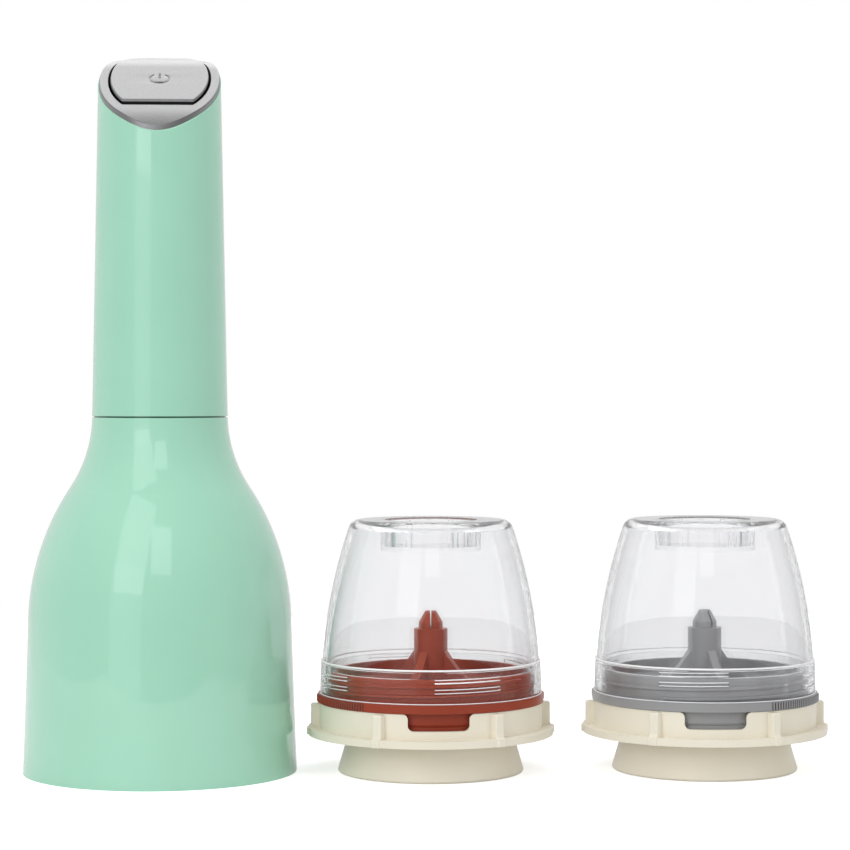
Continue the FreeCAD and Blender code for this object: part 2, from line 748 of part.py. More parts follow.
def pod_collar(leg_turn):
    """The coloured collar, made with the dome's lug at the front and its legs turned from there."""
    skirt_r = POD_WALL_R - POD_WALL - COLLAR_SKIRT_GAP
    skirt_bore = skirt_r - COLLAR_SKIRT_WALL
    bead = skirt_r + SNAP_DEPTH + COLLAR_SKIRT_GAP / 4
    outline = Outline(skirt_r, COLLAR_SKIRT_BOTTOM_Z)
    outline.to((skirt_r, SNAP_Z - SNAP_H / 4), (bead, SNAP_Z), (skirt_r, SNAP_Z + SNAP_H / 4))
    outline.to((skirt_r, RIM_BOTTOM_Z), (RIM_R, RIM_BOTTOM_Z), (RIM_R, RIM_TOP_Z), (NECK_R, RIM_TOP_Z))
    outline.to((NECK_R, NECK_TOP_Z - NECK_CHAMFER_H), (NECK_R - NECK_CHAMFER_W, NECK_TOP_Z))
    outline.to((NECK_BORE_R, NECK_TOP_Z), (NECK_BORE_R, DECK_EDGE_Z), (DECK_THROAT_R, DECK_THROAT_Z))
    outline.to((DECK_THROAT_R, THROAT_BOTTOM_Z), (DECK_THROAT_R + THROAT_WALL, THROAT_BOTTOM_Z))
    outline.to((DECK_THROAT_R + THROAT_WALL, DECK_THROAT_Z - DECK_T), (NECK_BORE_R, DECK_EDGE_Z - DECK_T))
    outline.to((skirt_bore, DECK_EDGE_Z - 2 * DECK_T), (skirt_bore, COLLAR_SKIRT_BOTTOM_Z))
    legs = [turned(leg(), leg_turn + 360 / LEG_COUNT * i) for i in range(LEG_COUNT)]
    hub = rod(HUB_R, THROAT_BOTTOM_Z, HUB_TOP_Z)
    start = -THREAD_LEAD_IN
    thread = helical_ridge(NECK_R, THREAD_DEPTH, start, 360 * THREAD_TURNS, thread_z(start))
    body = joined([outline.solid(), hub, thread] + legs)
    return body.cut(rod(BURR_SHAFT_R + BURR_SHAFT_FIT, 0, DOME_TOP_Z))


def leg():
    """One buttress from the hub out to the sloping deck, with a hollow top edge."""
    slope = (DECK_EDGE_Z - DECK_THROAT_Z) / (NECK_BORE_R - DECK_THROAT_R)
    foot_z = DECK_THROAT_Z + slope * (LEG_FOOT_R - DECK_THROAT_R)
    inner = (HUB_R + BURR_SHAFT_R) / 2
    heel_r = DECK_THROAT_R + THROAT_WALL / 2
    outline = Outline(inner, THROAT_BOTTOM_Z)
    outline.to((inner, LEG_TOP_Z), (HUB_R, LEG_TOP_Z))
    outline.bend(((HUB_R + LEG_FOOT_R) / 2, (LEG_TOP_Z + foot_z) / 2 - LEG_SAG), (LEG_FOOT_R, foot_z))
    outline.to((LEG_FOOT_R, foot_z - DECK_T / 2), (heel_r, DECK_THROAT_Z - DECK_T / 2))
    outline.to((heel_r, THROAT_BOTTOM_Z))
    return outline.plate(LEG_T)


def pod_dome():
    start, side = dome_line(0)
    inner_start, inner_side = dome_line(DOME_WALL)
    corner = leaning_arc(side[1], DOME_TOP_LEAN, 90, DOME_CORNER_R)
    inner_top = corner[1][1] - DOME_WALL
    socket_outer = SOCKET_R + SOCKET_WALL
    socket_floor = DOME_TOP_Z - SOCKET_DEPTH
    outline = Outline(DOME_BORE_R, RIM_TOP_Z)
    outline.to((DOME_R, RIM_TOP_Z), (DOME_SKIRT_TOP_R, DOME_LEDGE_Z), start)
    outline.bend(*side)
    outline.bend(*corner)
    outline.to((SOCKET_R, corner[1][1]), (SOCKET_R, socket_floor), (0, socket_floor))
    outline.to((0, socket_floor - SOCKET_FLOOR), (socket_outer, socket_floor - SOCKET_FLOOR))
    outline.to((socket_outer, inner_top), (corner[1][0], inner_top), inner_side[1])
    outline.bend(inner_side[0], inner_start)
    outline.to((inner_start[0], DOME_SHOULDER_Z), (DOME_BORE_R, DOME_SHOULDER_Z))
    step = 360 / SPLINE_COUNT
    splines = [turned(socket_spline(), step * i) for i in range(SPLINE_COUNT)]
    body = joined([outline.solid()] + splines)
    places = range(LUG_FIRST, LUG_FIRST + LUG_COUNT)
    return joined([body] + [lug(i, row) for row in range(LUG_ROWS) for i in places])


def socket_spline():
    floor = DOME_TOP_Z - SOCKET_DEPTH
    outer = SOCKET_R + SOCKET_WALL / 2
    half = SPLINE_W / 2
    return block(-half, half, -outer, SPLINE_DEPTH - SOCKET_R, floor - SOCKET_FLOOR / 2, DOME_TOP_Z - half)


def lug(index, row):
    """One short piece of the dome's interrupted thread, between two turns of the collar's thread."""
    azimuth = 360 / LUG_COUNT * index
    height = thread_z(azimuth) + THREAD_PITCH * (row + 0.5)
    return helical_ridge(DOME_BORE_R, -LUG_DEPTH, azimuth, LUG_SPAN, height)


def seal_ring():
    outer = DOME_BORE_R - LUG_DEPTH - SEAL_GAP
    bottom = NECK_TOP_Z + SEAL_GAP
    return tube(outer, outer - SEAL_W, bottom, bottom + SEAL_H)


def burr_shaft(slot_turn):
    """The shaft through the hub. Its split conical head snaps out above the hub."""
    head_top = HUB_TOP_Z + PIN_HEAD_H
    tip = head_top + PIN_CONE_H
    foot_top = BURR_BOTTOM_Z
    outline = Outline(0, foot_top - BURR_FOOT_H)
    outline.to((BURR_FOOT_R, foot_top - BURR_FOOT_H), (BURR_FOOT_R, foot_top), (BURR_SHAFT_R, foot_top))
    outline.to((BURR_SHAFT_R, HUB_TOP_Z), (PIN_HEAD_R, HUB_TOP_Z), (PIN_HEAD_R, head_top))
    outline.to((PIN_TIP_R, tip), (0, tip))
    floor = HUB_TOP_Z + PIN_SLOT_FLOOR
    slot = block(-PIN_SLOT_W / 2, PIN_SLOT_W / 2, -PIN_HEAD_R, PIN_HEAD_R, floor, tip)
    return outline.solid().cut(turned(slot, slot_turn))


def thrust_washer():
    return tube(WASHER_R, BURR_SHAFT_R + WASHER_FIT, THROAT_BOTTOM_Z - WASHER_T, THROAT_BOTTOM_Z)


def star(teeth, tip_r, root_r, height, twist):
    """A closed outline of pointed teeth at a height, turned by a twist."""
    points = []
    for i in range(teeth):
        for share, radius in ((0, tip_r), (BURR_BACK_SHARE, root_r), (BURR_FACE_SHARE, root_r)):
            x, y = around(twist + 360 / teeth * (i + share), radius)
            points.append(Vector(x, y, height))
    return Part.makePolygon(points + points[:1])


def inner_burr():
    """A cone of slanting teeth."""
    bottom = star(BURR_TEETH, BURR_BOTTOM_R, BURR_BOTTOM_R - BURR_TOOTH_DEPTH, BURR_BOTTOM_Z, 0)
    top = star(BURR_TEETH, BURR_TOP_R, BURR_TOP_R - BURR_TOOTH_DEPTH, BURR_TOP_Z, BURR_TWIST)
    cone = Part.makeLoft([bottom, top], True, True)
    return cone.cut(rod(BURR_SHAFT_R + BURR_SHAFT_FIT, BURR_BOTTOM_Z, BURR_TOP_Z))


def outer_burr():
    """A ring whose toothed bore widens towards the top, where the spice is drawn in."""
    slope = (BURR_TOP_R - BURR_BOTTOM_R) / (BURR_TOP_Z - BURR_BOTTOM_Z)

    def section(height, flare):
        tip = BURR_BOTTOM_R + slope * (height - BURR_BOTTOM_Z) + BURR_RUN_GAP + flare
        twist = -BURR_TWIST * (height - BURR_BOTTOM_Z) / (BURR_TOP_Z - BURR_BOTTOM_Z)
        return star(RING_BURR_TEETH, tip + RING_TOOTH_DEPTH, tip, height, twist)

    sections = [section(RING_BURR_BOTTOM_Z, 0), section(RING_BURR_TOP_Z, RING_TOP_FLARE)]
    bore = Part.makeLoft(sections, True, True)
    return rod(RING_BURR_R, RING_BURR_BOTTOM_Z, RING_BURR_TOP_Z).cut(bore)


def pod(index):
    """The eight pieces of one pod, standing in its place beside the mill."""
    lug_turn = LUG_TURNS[index]
    pieces = {
        "base": turned(pod_base(), BASE_TURNS[index]),
        "collar": turned(pod_collar(LEG_TURNS[index] - lug_turn), lug_turn),
        "dome": turned(pod_dome(), lug_turn),
        "seal_ring": seal_ring(),
        "burr_shaft": burr_shaft(SLOT_TURNS[index]),
        "thrust_washer": thrust_washer(),
        "inner_burr": inner_burr(),
        "outer_burr": outer_burr(),
    }
    name = POD_NAMES[index]
    return {f"{name}_{piece}": moved(shape, POD_X[index], POD_Y) for piece, shape in pieces.items()}


# Shells of the mill


def lower_housing():
    """The bell-shaped shell, with the mouth, the spigot for the handle and the inner bosses."""
    flank, shoulder, neck = bell_line(0)
    inner_flank, inner_shoulder, inner_neck = bell_line(BELL_WALL)
    inner_neck_r = inner_neck[1][0]
    shelf = SEAM_Z - SEAM_GAP / 2
    seam_r = NECK_END[0] - SEAM_DEPTH
    groove_r = SPIGOT_R - NECK_RING_DEPTH
    pad_z = HOLDER_BOTTOM_Z - HOLDER_BOSS_H
    outer = Outline(0, 0)
    outer.to((BASE_R, 0), flank)
    outer.bend(*shoulder)
    outer.bend(neck[0], (neck[1][0], shelf))
    outer.to((seam_r, shelf), (seam_r, shelf + SEAM_GAP), (SPIGOT_R, shelf + SEAM_GAP))
    outer.to((SPIGOT_R, NECK_RING_Z), (groove_r, NECK_RING_Z))
    outer.to((groove_r, NECK_RING_Z + NECK_RING_H), (SPIGOT_R, NECK_RING_Z + NECK_RING_H))
    outer.to((SPIGOT_R, SPIGOT_TOP_Z), (0, SPIGOT_TOP_Z))
    form = outer.solid()
    inner = Outline(0, 0)
    inner.to((MOUTH_R, 0), (MOUTH_R, MOUTH_DEPTH))
    inner.to((flank_r(MOUTH_DEPTH, BELL_WALL), MOUTH_DEPTH), inner_flank)
    inner.to(inner_shoulder[0], inner_shoulder[1], inner_neck[0], (inner_neck_r, NECK_FLOOR_Z))
    inner.to((SPIGOT_BORE_R, NECK_FLOOR_Z), (SPIGOT_BORE_R, SPIGOT_TOP_Z), (0, SPIGOT_TOP_Z))
    shell = form.cut(inner.solid())
    bosses = [rod(BOSS_R, CHAMBER_TOP_Z, NECK_FLOOR_Z, x, y).common(form)
              for x, y in chamber_screw_places()]
    holes = [screw_hole(x, y) for x, y in chamber_screw_places()]
    bore = rod(SPIGOT_BORE_R + SPIGOT_WALL / 2, pad_z, HOLDER_BOTTOM_Z)
    pads = [rod(HOLDER_BOSS_R, pad_z, HOLDER_BOTTOM_Z, x, 0).common(bore) for x in holder_screw_places()]
    pilots = [rod(SCREW_R, pad_z, HOLDER_BOTTOM_Z, x, 0) for x in holder_screw_places()]
    return joined([shell] + bosses + pads).cut(holes + pilots)


def chamber_screw_places():
    return [around(CHAMBER_SCREW_AZ + 360 / CHAMBER_SCREW_COUNT * i, CHAMBER_SCREW_AT_R)
            for i in range(CHAMBER_SCREW_COUNT)]


def screw_hole(x, y):
    """A hole for a chamber screw, from the deck's counterbore into the boss above it."""
    head = rod(SCREW_HEAD_R + SCREW_FIT, CHAMBER_DECK_Z, CHAMBER_DECK_Z + SCREW_HEAD_H + SCREW_FIT, x, y)
    return head.fuse(rod(SCREW_R, CHAMBER_DECK_Z, CHAMBER_DECK_Z + SCREW_HEAD_H + CHAMBER_SCREW_L, x, y))


def holder_screw_places():
    return [-HOLDER_SCREW_AT_R, HOLDER_SCREW_AT_R]


def chamber_side(room):
    """Lower, middle and upper points of the pod chamber's side, at a room outside the dome."""
    start, side = dome_line(-room)
    drop = -FOOT_H
    return [(radius, height + drop) for radius, height in (start, side[0], side[1])]


def pod_chamber():
    """The liner that takes a pod: the ring with keyways for its ribs, the side and the deck."""
    ring_top = MOUTH_DEPTH + CHAMBER_RING_H
    ring_r = MOUTH_R - CHAMBER_RING_GAP
    low, middle, high = chamber_side(DOME_ROOM)
    low_out, middle_out, high_out = chamber_side(DOME_ROOM + CHAMBER_WALL)
    outline = Outline(GUIDE_R, MOUTH_DEPTH)
    outline.to((ring_r, MOUTH_DEPTH), (ring_r, ring_top))
    outline.to((GUIDE_R + CHAMBER_WALL, ring_top))
    outline.to(low_out, middle_out, high_out, (high_out[0], CHAMBER_TOP_Z), (BUSHING_R, CHAMBER_TOP_Z))
    outline.to((BUSHING_R, CHAMBER_DECK_Z), (high[0], CHAMBER_DECK_Z))
    outline.to(high, middle, low, (GUIDE_R, ring_top))
    step = 360 / RIB_COUNT
    key_r = RIB_R + KEY_GAP
    key_half = RIB_W / 2 + KEY_GAP
    key_top = POD_WALL_TOP_Z - FOOT_H + KEY_HEADROOM
    key = block(-key_half, key_half, -key_r, -GUIDE_R + 2 * GUIDE_GAP, MOUTH_DEPTH, key_top)
    keys = [turned(key, RIB_FIRST_AZ + step * i) for i in range(RIB_COUNT)]
    cuts = keys + [turned(clip_pocket(), 360 / CLIP_COUNT * i) for i in range(CLIP_COUNT)]
    cuts += [screw_hole(x, y) for x, y in chamber_screw_places()]
    cuts += [rod(SCREW_R, CHAMBER_DECK_Z + SCREW_FIT, CHAMBER_TOP_Z, x, y) for x, y in ear_places()]
    return outline.solid().cut(cuts)


def clip_back_r():
    return GUIDE_R + CLIP_T + CLIP_POCKET_GAP


def clip_pocket():
    """The cutter for a clip's pocket in the chamber's ring and side."""
    half = CLIP_W / 2 + CLIP_POCKET_GAP
    inside = GUIDE_R - CLIP_BITE - 2 * CLIP_POCKET_GAP
    outside = clip_back_r() + CLIP_T
    low = clip_low_z() - CLIP_POCKET_GAP
    return block(-half, half, -outside, -inside, low, clip_low_z() + CLIP_LENGTH)


def clip_low_z():
    return RIM_TOP_Z - FOOT_H - 1.5 * CLIP_BITE


def pod_clips():
    """Leaf springs that snap in over the pod's coloured rim."""
    back = clip_back_r()
    low = clip_low_z()
    bite = GUIDE_R - CLIP_BITE
    high = low + CLIP_LENGTH - CLIP_POCKET_GAP
    line = [(back, low), (bite, low + 2 * CLIP_BITE), (back, low + 4 * CLIP_BITE), (back, high)]
    inner = [Vector(-CLIP_W / 2, -r, z) for r, z in line]
    outer = [point + Vector(0, -CLIP_T, 0) for point in reversed(inner)]
    clip = extruded(inner + outer, Vector(CLIP_W, 0, 0))
    return Part.makeCompound([turned(clip, 360 / CLIP_COUNT * i) for i in range(CLIP_COUNT)])


def chamber_screws():
    one = screw(SCREW_R - SCREW_FIT, CHAMBER_SCREW_L - SCREW_FIT, SCREW_HEAD_R, SCREW_HEAD_H - SCREW_FIT)
    seat = CHAMBER_DECK_Z + SCREW_HEAD_H + SCREW_FIT
    return Part.makeCompound([moved(one, x, y, seat) for x, y in chamber_screw_places()])


# Gearbox


def gear_outline(teeth, addendum, dedendum, slack, turn):
    """Corner points of a gear's teeth, with straight chords along each involute flank."""
    pitch_r = GEAR_MODULE * teeth / 2
    base_r = pitch_r * cos(PRESSURE_ANGLE)
    radii = (pitch_r - dedendum * GEAR_MODULE, pitch_r, pitch_r + addendum * GEAR_MODULE)

    def involute(radius):
        angle = math.acos(min(1.0, base_r / radius))
        return math.tan(angle) - angle

    def half_angle(radius):
        half_pitch = math.pi / (2 * teeth) - slack / (2 * pitch_r)
        return math.degrees(half_pitch + involute(pitch_r) - involute(max(radius, base_r)))

    flank = [(radius, half_angle(radius)) for radius in radii]
    points = []
    for i in range(teeth):
        middle = turn + 360 / teeth * i
        for side, steps in ((-1, flank), (1, flank[::-1])):
            for radius, half in steps:
                points.append(Vector(*around(middle + side * half, radius), 0))
    return points


def gear(teeth, bore, turn):
    body = extruded(gear_outline(teeth, ADDENDUM, DEDENDUM, TOOTH_SLACK, turn), Vector(0, 0, GEAR_H))
    return body.cut(rod(bore, 0, GEAR_H))


def planet_places():
    azimuths = [360 / PLANET_COUNT * i for i in range(PLANET_COUNT)]
    return [(azimuth, *around(azimuth, PLANET_ORBIT_R)) for azimuth in azimuths]


def ear_places():
    return [around(CHAMBER_SCREW_AZ + 180 / PLANET_COUNT + 360 / PLANET_COUNT * i, EAR_AT_R)
            for i in range(PLANET_COUNT)]


def eared_disc(bottom, top):
    ears = [rod(EAR_R, bottom, top, x, y) for x, y in ear_places()]
    return joined([rod(GEARBOX_R, bottom, top)] + ears)


def gearbox_housing():
    """The cup of the planetary gearbox, with the ring gear's teeth inside."""
    outline = gear_outline(RING_TEETH, RING_DEDENDUM, RING_ADDENDUM, -TOOTH_SLACK, 0)
    spaces = extruded(outline, Vector(0, 0, COVER_Z - RING_GEAR_Z))
    cuts = [
        moved(spaces, z=RING_GEAR_Z),
        rod(CARRIER_ROOM_R, CHAMBER_TOP_Z + GEARBOX_FLOOR_T, COVER_Z),
        rod(BUSHING_R, CHAMBER_TOP_Z, CARRIER_Z),
    ]
    cuts += [rod(SCREW_R, CHAMBER_TOP_Z, COVER_Z, x, y) for x, y in ear_places()]
    return eared_disc(CHAMBER_TOP_Z, COVER_Z).cut(cuts)


def gearbox_cover():
    """The plate that closes the gearbox and carries the motor."""
    cuts = [rod(MOTOR_BOSS_R + SCREW_FIT, COVER_Z, MOTOR_Z)]
    cuts += [rod(SCREW_R, COVER_Z, MOTOR_Z, x, y) for x, y in ear_places()]
    for x, y in motor_screw_places():
        cuts.append(rod(SCREW_HEAD_R + SCREW_FIT, COVER_Z, COVER_Z + SCREW_HEAD_H, x, y))
        cuts.append(rod(SCREW_R, COVER_Z, MOTOR_Z, x, y))
    return eared_disc(COVER_Z, MOTOR_Z).cut(cuts)


def gearbox_screws():
    """Long screws through the cover and the gearbox into the chamber's deck."""
    length = MOTOR_Z - CHAMBER_DECK_Z - 2 * SCREW_FIT
    one = upside_down(screw(SCREW_R - SCREW_FIT, length, SCREW_HEAD_R, SCREW_HEAD_H))
    return Part.makeCompound([moved(one, x, y, MOTOR_Z) for x, y in ear_places()])


def output_bushing():
    return tube(BUSHING_R, OUTPUT_SHAFT_R + OUTPUT_SHAFT_FIT, CHAMBER_DECK_Z, CARRIER_Z - GEAR_END_GAP)


def planet_carrier():
    """The carrier disc and the output shaft below it, flattened where the coupler sits."""
    bottom = coupler_levels()[0] + COUPLER_SCREW_HEAD_H + COUPLER_BOTTOM_GAP
    shaft = rod(OUTPUT_SHAFT_R, bottom, CARRIER_Z)
    flat = block(-FAR, FAR, OUTPUT_FLAT, FAR, bottom, CHAMBER_DECK_Z - COUPLER_TOP_GAP)
    body = joined([shaft.cut(flat), rod(CARRIER_R, CARRIER_Z, CARRIER_Z + CARRIER_T)])
    cuts = [rod(PLANET_PIN_R, CARRIER_Z, CARRIER_Z + CARRIER_T, x, y) for _, x, y in planet_places()]
    cuts.append(rod(COUPLER_SCREW_R, bottom, bottom + COUPLER_SCREW_L))
    return body.cut(cuts)


def planet_pins():
    radius = PLANET_PIN_R
    return Part.makeCompound([rod(radius, CARRIER_Z, GEAR_Z + GEAR_H, x, y) for _, x, y in planet_places()])


def planet_gears():
    """Each planet has a tooth that points straight out, into a space of the ring gear."""
    gears = {}
    for number, (azimuth, x, y) in enumerate(planet_places(), 1):
        planet = gear(PLANET_TEETH, PLANET_PIN_R + PLANET_PIN_FIT, azimuth)
        gears[f"planet_gear_{number}"] = moved(planet, x, y, GEAR_Z)
    return gears


def sun_gear():
    """The pinion on the motor's shaft. A space of it, not a tooth, faces each planet."""
    return moved(gear(SUN_TEETH, MOTOR_SHAFT_R, 180 / SUN_TEETH), z=GEAR_Z)


def coupler_levels():
    """Bottom and top of the drive coupler, which reaches into a docked pod's socket."""
    bottom = DOME_TOP_Z - SOCKET_DEPTH - FOOT_H + COUPLER_BOTTOM_GAP
    return bottom, CHAMBER_DECK_Z - COUPLER_TOP_GAP


def drive_coupler():
    """The splined plug that turns the dome of a pod."""
    bottom, top = coupler_levels()
    radius = SOCKET_R - COUPLER_GAP
    outline = Outline(0, bottom)
    outline.to((radius - COUPLER_CHAMFER, bottom), (radius, bottom + COUPLER_CHAMFER))
    outline.to((radius, top), (0, top))
    half = SPLINE_W / 2 + COUPLER_GAP
    groove = block(-half, half, -FAR, SPLINE_DEPTH + COUPLER_GAP - SOCKET_R, bottom, top)
    grooves = [turned(groove, 360 / SPLINE_COUNT * i) for i in range(SPLINE_COUNT)]
    bore = rod(OUTPUT_SHAFT_R, bottom, top)
    bore = bore.cut(block(-FAR, FAR, OUTPUT_FLAT, FAR, bottom, top))
    head = rod(COUPLER_SCREW_HEAD_R + SCREW_FIT, bottom, bottom + COUPLER_SCREW_HEAD_H + COUPLER_BOTTOM_GAP)
    return outline.solid().cut(grooves + [bore, head])


def coupler_screw():
    bottom = coupler_levels()[0] + COUPLER_SCREW_HEAD_H + COUPLER_BOTTOM_GAP
    length = COUPLER_SCREW_L - SCREW_FIT
    one = screw(COUPLER_SCREW_R - SCREW_FIT, length, COUPLER_SCREW_HEAD_R, COUPLER_SCREW_HEAD_H)
    return moved(one, z=bottom)


# Motor


def motor_screw_places():
    return [(-MOTOR_SCREW_AT_R, 0), (MOTOR_SCREW_AT_R, 0)]


def motor_case():
    """The motor's steel can, with its front boss and the bore for its shaft."""
    can = rod(MOTOR_R, MOTOR_Z, MOTOR_TOP_Z)
    front_rim = [edge for edge in can.Edges if edge.BoundBox.ZMax < MOTOR_Z + MOTOR_EDGE_R]
    can = can.makeFillet(MOTOR_EDGE_R, front_rim)
    body = joined([can, rod(MOTOR_BOSS_R, MOTOR_Z - MOTOR_BOSS_H, MOTOR_Z)])
    cuts = [rod(MOTOR_SHAFT_R + MOTOR_SHAFT_FIT, MOTOR_Z - MOTOR_BOSS_H, MOTOR_TOP_Z)]
    cuts += [rod(SCREW_R, MOTOR_Z, MOTOR_Z + MOTOR_SCREW_BITE, x, y) for x, y in motor_screw_places()]
    return body.cut(cuts)


def motor_end_cap():
    boss_top = END_CAP_TOP_Z + END_BOSS_H
    body = joined([rod(END_CAP_R, MOTOR_TOP_Z, END_CAP_TOP_Z), rod(END_BOSS_R, END_CAP_TOP_Z, boss_top)])
    return body.cut(rod(MOTOR_SHAFT_R + MOTOR_SHAFT_FIT, MOTOR_TOP_Z, END_CAP_TOP_Z + MOTOR_SHAFT_FIT))


def motor_shaft():
    return rod(MOTOR_SHAFT_R, GEAR_Z, END_CAP_TOP_Z)


def motor_screws():
    length = COVER_T - SCREW_HEAD_H + MOTOR_SCREW_BITE - SCREW_FIT
    one = screw(SCREW_R - SCREW_FIT, length, SCREW_HEAD_R, SCREW_HEAD_H - SCREW_FIT)
    return Part.makeCompound([moved(one, x, y, COVER_Z + SCREW_HEAD_H) for x, y in motor_screw_places()])


def motor_terminals():
    half_w = TERMINAL_W / 2
    half_t = TERMINAL_T / 2
    top = END_CAP_TOP_Z + TERMINAL_H
    tabs = [block(-half_w, half_w, y - half_t, y + half_t, END_CAP_TOP_Z, top)
            for y in (-TERMINAL_AT_R, TERMINAL_AT_R)]
    return Part.makeCompound(tabs)


# Battery tower


def neck_ring():
    """The rubber ring on the spigot that holds the handle by friction."""
    outer = handle_r(NECK_RING_Z + NECK_RING_H) - HANDLE_WALL - NECK_RING_PLAY
    inner = SPIGOT_R - NECK_RING_DEPTH
    edge = (outer - SPIGOT_R) / 2
    middle = NECK_RING_Z + NECK_RING_H / 2
    outline = Outline(inner, NECK_RING_Z)
    outline.to((SPIGOT_R, NECK_RING_Z), (outer, middle - edge), (outer, middle + edge))
    outline.to((SPIGOT_R, NECK_RING_Z + NECK_RING_H), (inner, NECK_RING_Z + NECK_RING_H))
    return outline.solid()


def battery_holder():
    """The tower: a plug in the spigot, a flange, a windowed tube with cross webs and a top disc."""
    plug = rod(SPIGOT_BORE_R - HOLDER_FIT, HOLDER_BOTTOM_Z, SPIGOT_TOP_Z)
    flange = rod(SPIGOT_R - HOLDER_FIT, SPIGOT_TOP_Z, HOLDER_FLOOR_Z)
    wall = tube(TUBE_R, TUBE_BORE_R, HOLDER_FLOOR_Z, HOLDER_CEILING_Z)
    half = TUBE_WINDOW_W / 2
    window = block(-half, half, -FAR, 0, CELL_Z, CELL_Z + CELL_L)
    wall = wall.cut([turned(window, 45 + 90 * i) for i in range(4)])
    web = CELL_WEB / 2
    reach = (TUBE_R + TUBE_BORE_R) / 2
    webs = [block(-reach, reach, -web, web, HOLDER_FLOOR_Z, HOLDER_CEILING_Z)]
    webs.append(turned(webs[0], 90))
    top = rod(TUBE_R, HOLDER_CEILING_Z, HOLDER_TOP_Z)
    body = joined([plug, flange, wall, top] + webs)
    cuts = [rod(HOLDER_CENTRE_HOLE_R, HOLDER_BOTTOM_Z, HOLDER_FLOOR_Z - CONTACT_T)]
    clear = SCREW_HEAD_R + 2 * SCREW_FIT
    for x in holder_screw_places():
        cuts.append(rod(SCREW_R, HOLDER_BOTTOM_Z, HOLDER_FLOOR_Z, x, 0))
        cuts.append(rod(clear, HOLDER_FLOOR_Z - SCREW_HEAD_H, HOLDER_FLOOR_Z + 2 * SCREW_HEAD_H, x, 0))
    return body.cut(cuts)


def holder_screws():
    length = HOLDER_SCREW_L - SCREW_HEAD_H
    one = upside_down(screw(SCREW_R - SCREW_FIT, length, SCREW_HEAD_R, SCREW_HEAD_H - SCREW_FIT))
    seat = HOLDER_FLOOR_Z - SCREW_HEAD_H
    return Part.makeCompound([moved(one, x, 0, seat) for x in holder_screw_places()])


def cell_places():
    """X and Y of each cell, and 1 where its button end is up or -1 where it is down."""
    at = CELL_AT
    return [(at, at, 1), (-at, at, -1), (-at, -at, 1), (at, -at, -1)]


def cell():
    can = rod(CELL_R, 0, CELL_L - CELL_NUB_H)
    can = can.makeChamfer(CELL_EDGE_R, [edge for edge in can.Edges if len(edge.Vertexes) == 1])
    return joined([can, rod(CELL_NUB_R, CELL_L - CELL_NUB_H, CELL_L)])


def batteries():
    """Four cells, every other one upside down."""
    cells = {}
    for number, (x, y, way) in enumerate(cell_places(), 1):
        one = cell() if way > 0 else moved(upside_down(cell()), z=CELL_L)
        cells[f"battery_{number}"] = moved(one, x, y, CELL_Z)
    return cells


def contact_plate(length):
    """A contact strip with a bent leaf at each end, lying on height 0."""
    half = length / 2
    crest = CONTACT_T + CONTACT_LEAF_H
    run = CONTACT_W / 2
    line = [(-half, 0), (half, 0)]
    line += [(half, CONTACT_T), (half - run / 2, crest), (half - run, CONTACT_T)]
    line += [(run - half, CONTACT_T), (run / 2 - half, crest), (-half, CONTACT_T)]
    return extruded([Vector(x, -CONTACT_W / 2, z) for x, z in line], Vector(0, CONTACT_W, 0))


def battery_contacts(lower):
    """Strips that join the cells in pairs, across X below them and across Y above them."""
    length = 2 * CELL_AT + CONTACT_W
    if lower:
        strips = [moved(contact_plate(length), 0, y, HOLDER_FLOOR_Z) for y in (-CELL_AT, CELL_AT)]
    else:
        strip = turned(upside_down(contact_plate(length)), 90)
        strips = [moved(strip, x, 0, HOLDER_CEILING_Z) for x in (-CELL_AT, CELL_AT)]
    slit = block(-CELL_WEB, CELL_WEB, -FAR, FAR, HOLDER_BOTTOM_Z, HOLDER_TOP_Z)
    cut = slit if lower else turned(slit, 90)
    return Part.makeCompound([solid for strip in strips for solid in strip.cut(cut).Solids])


def switch_board():
    return rod(BOARD_R, HOLDER_TOP_Z, SWITCH_Z)


def switch_body():
    length, width, height = SWITCH_SIZE
    body = block(-length / 2, length / 2, -width / 2, width / 2, SWITCH_Z, SWITCH_TOP_Z)
    floor = SWITCH_TOP_Z - PLUNGER_SUNK - BUTTON_TRAVEL
    return body.cut(rod(PLUNGER_R + PLUNGER_FIT, floor, SWITCH_TOP_Z))


def switch_plunger():
    return rod(PLUNGER_R, SWITCH_TOP_Z - PLUNGER_SUNK, PLUNGER_TOP_Z)


# Handle, bezel and button


def handle_shell():
    """The upper shell, cut off under the slanted top, with a ledge inside for the retainer."""
    bottom = SEAM_Z + SEAM_GAP / 2
    kept = block(-FAR, FAR, -FAR, FAR, bottom, FAR)
    outer = handle_cone(0).common(kept).common(below_slant(-LIP_H))
    ledge_top = RETAINER_TOP_Z - RETAINER_T
    ledge_r = handle_r(ledge_top) - HANDLE_WALL - LEDGE_W
    ledge = handle_cone(HANDLE_WALL / 2).common(tube(BASE_R, ledge_r, ledge_top - LEDGE_T, ledge_top))
    return joined([outer.cut(handle_cone(HANDLE_WALL)), ledge])


def bezel():
    """The grey frame on the slanted top: a lip over the shell's edge and a plug inside it."""
    top = below_slant(0)
    lip = rounded_top(handle_cone(LIP_INSET).common(top), LIP_ROUND).cut(below_slant(-LIP_H))
    plug = handle_cone(HANDLE_WALL + BEZEL_PLUG_GAP).common(top).cut(below_slant(-BEZEL_PLUG_DEPTH))
    frame = joined([lip, plug]).cut(button_prism(0, 0, SEAM_Z))
    below_lip = below_slant(-LIP_H)

    def is_opening(edge):
        middle = edge.valueAt((edge.FirstParameter + edge.LastParameter) / 2)
        if is_upright(edge) or is_seam(edge) or below_lip.isInside(middle, TOUCH, True):
            return False
        return math.hypot(middle.x, middle.y) < BUTTON_OPENING_R + TOUCH

    return frame.makeFillet(BEZEL_EDGE_R, [edge for edge in frame.Edges if is_opening(edge)])


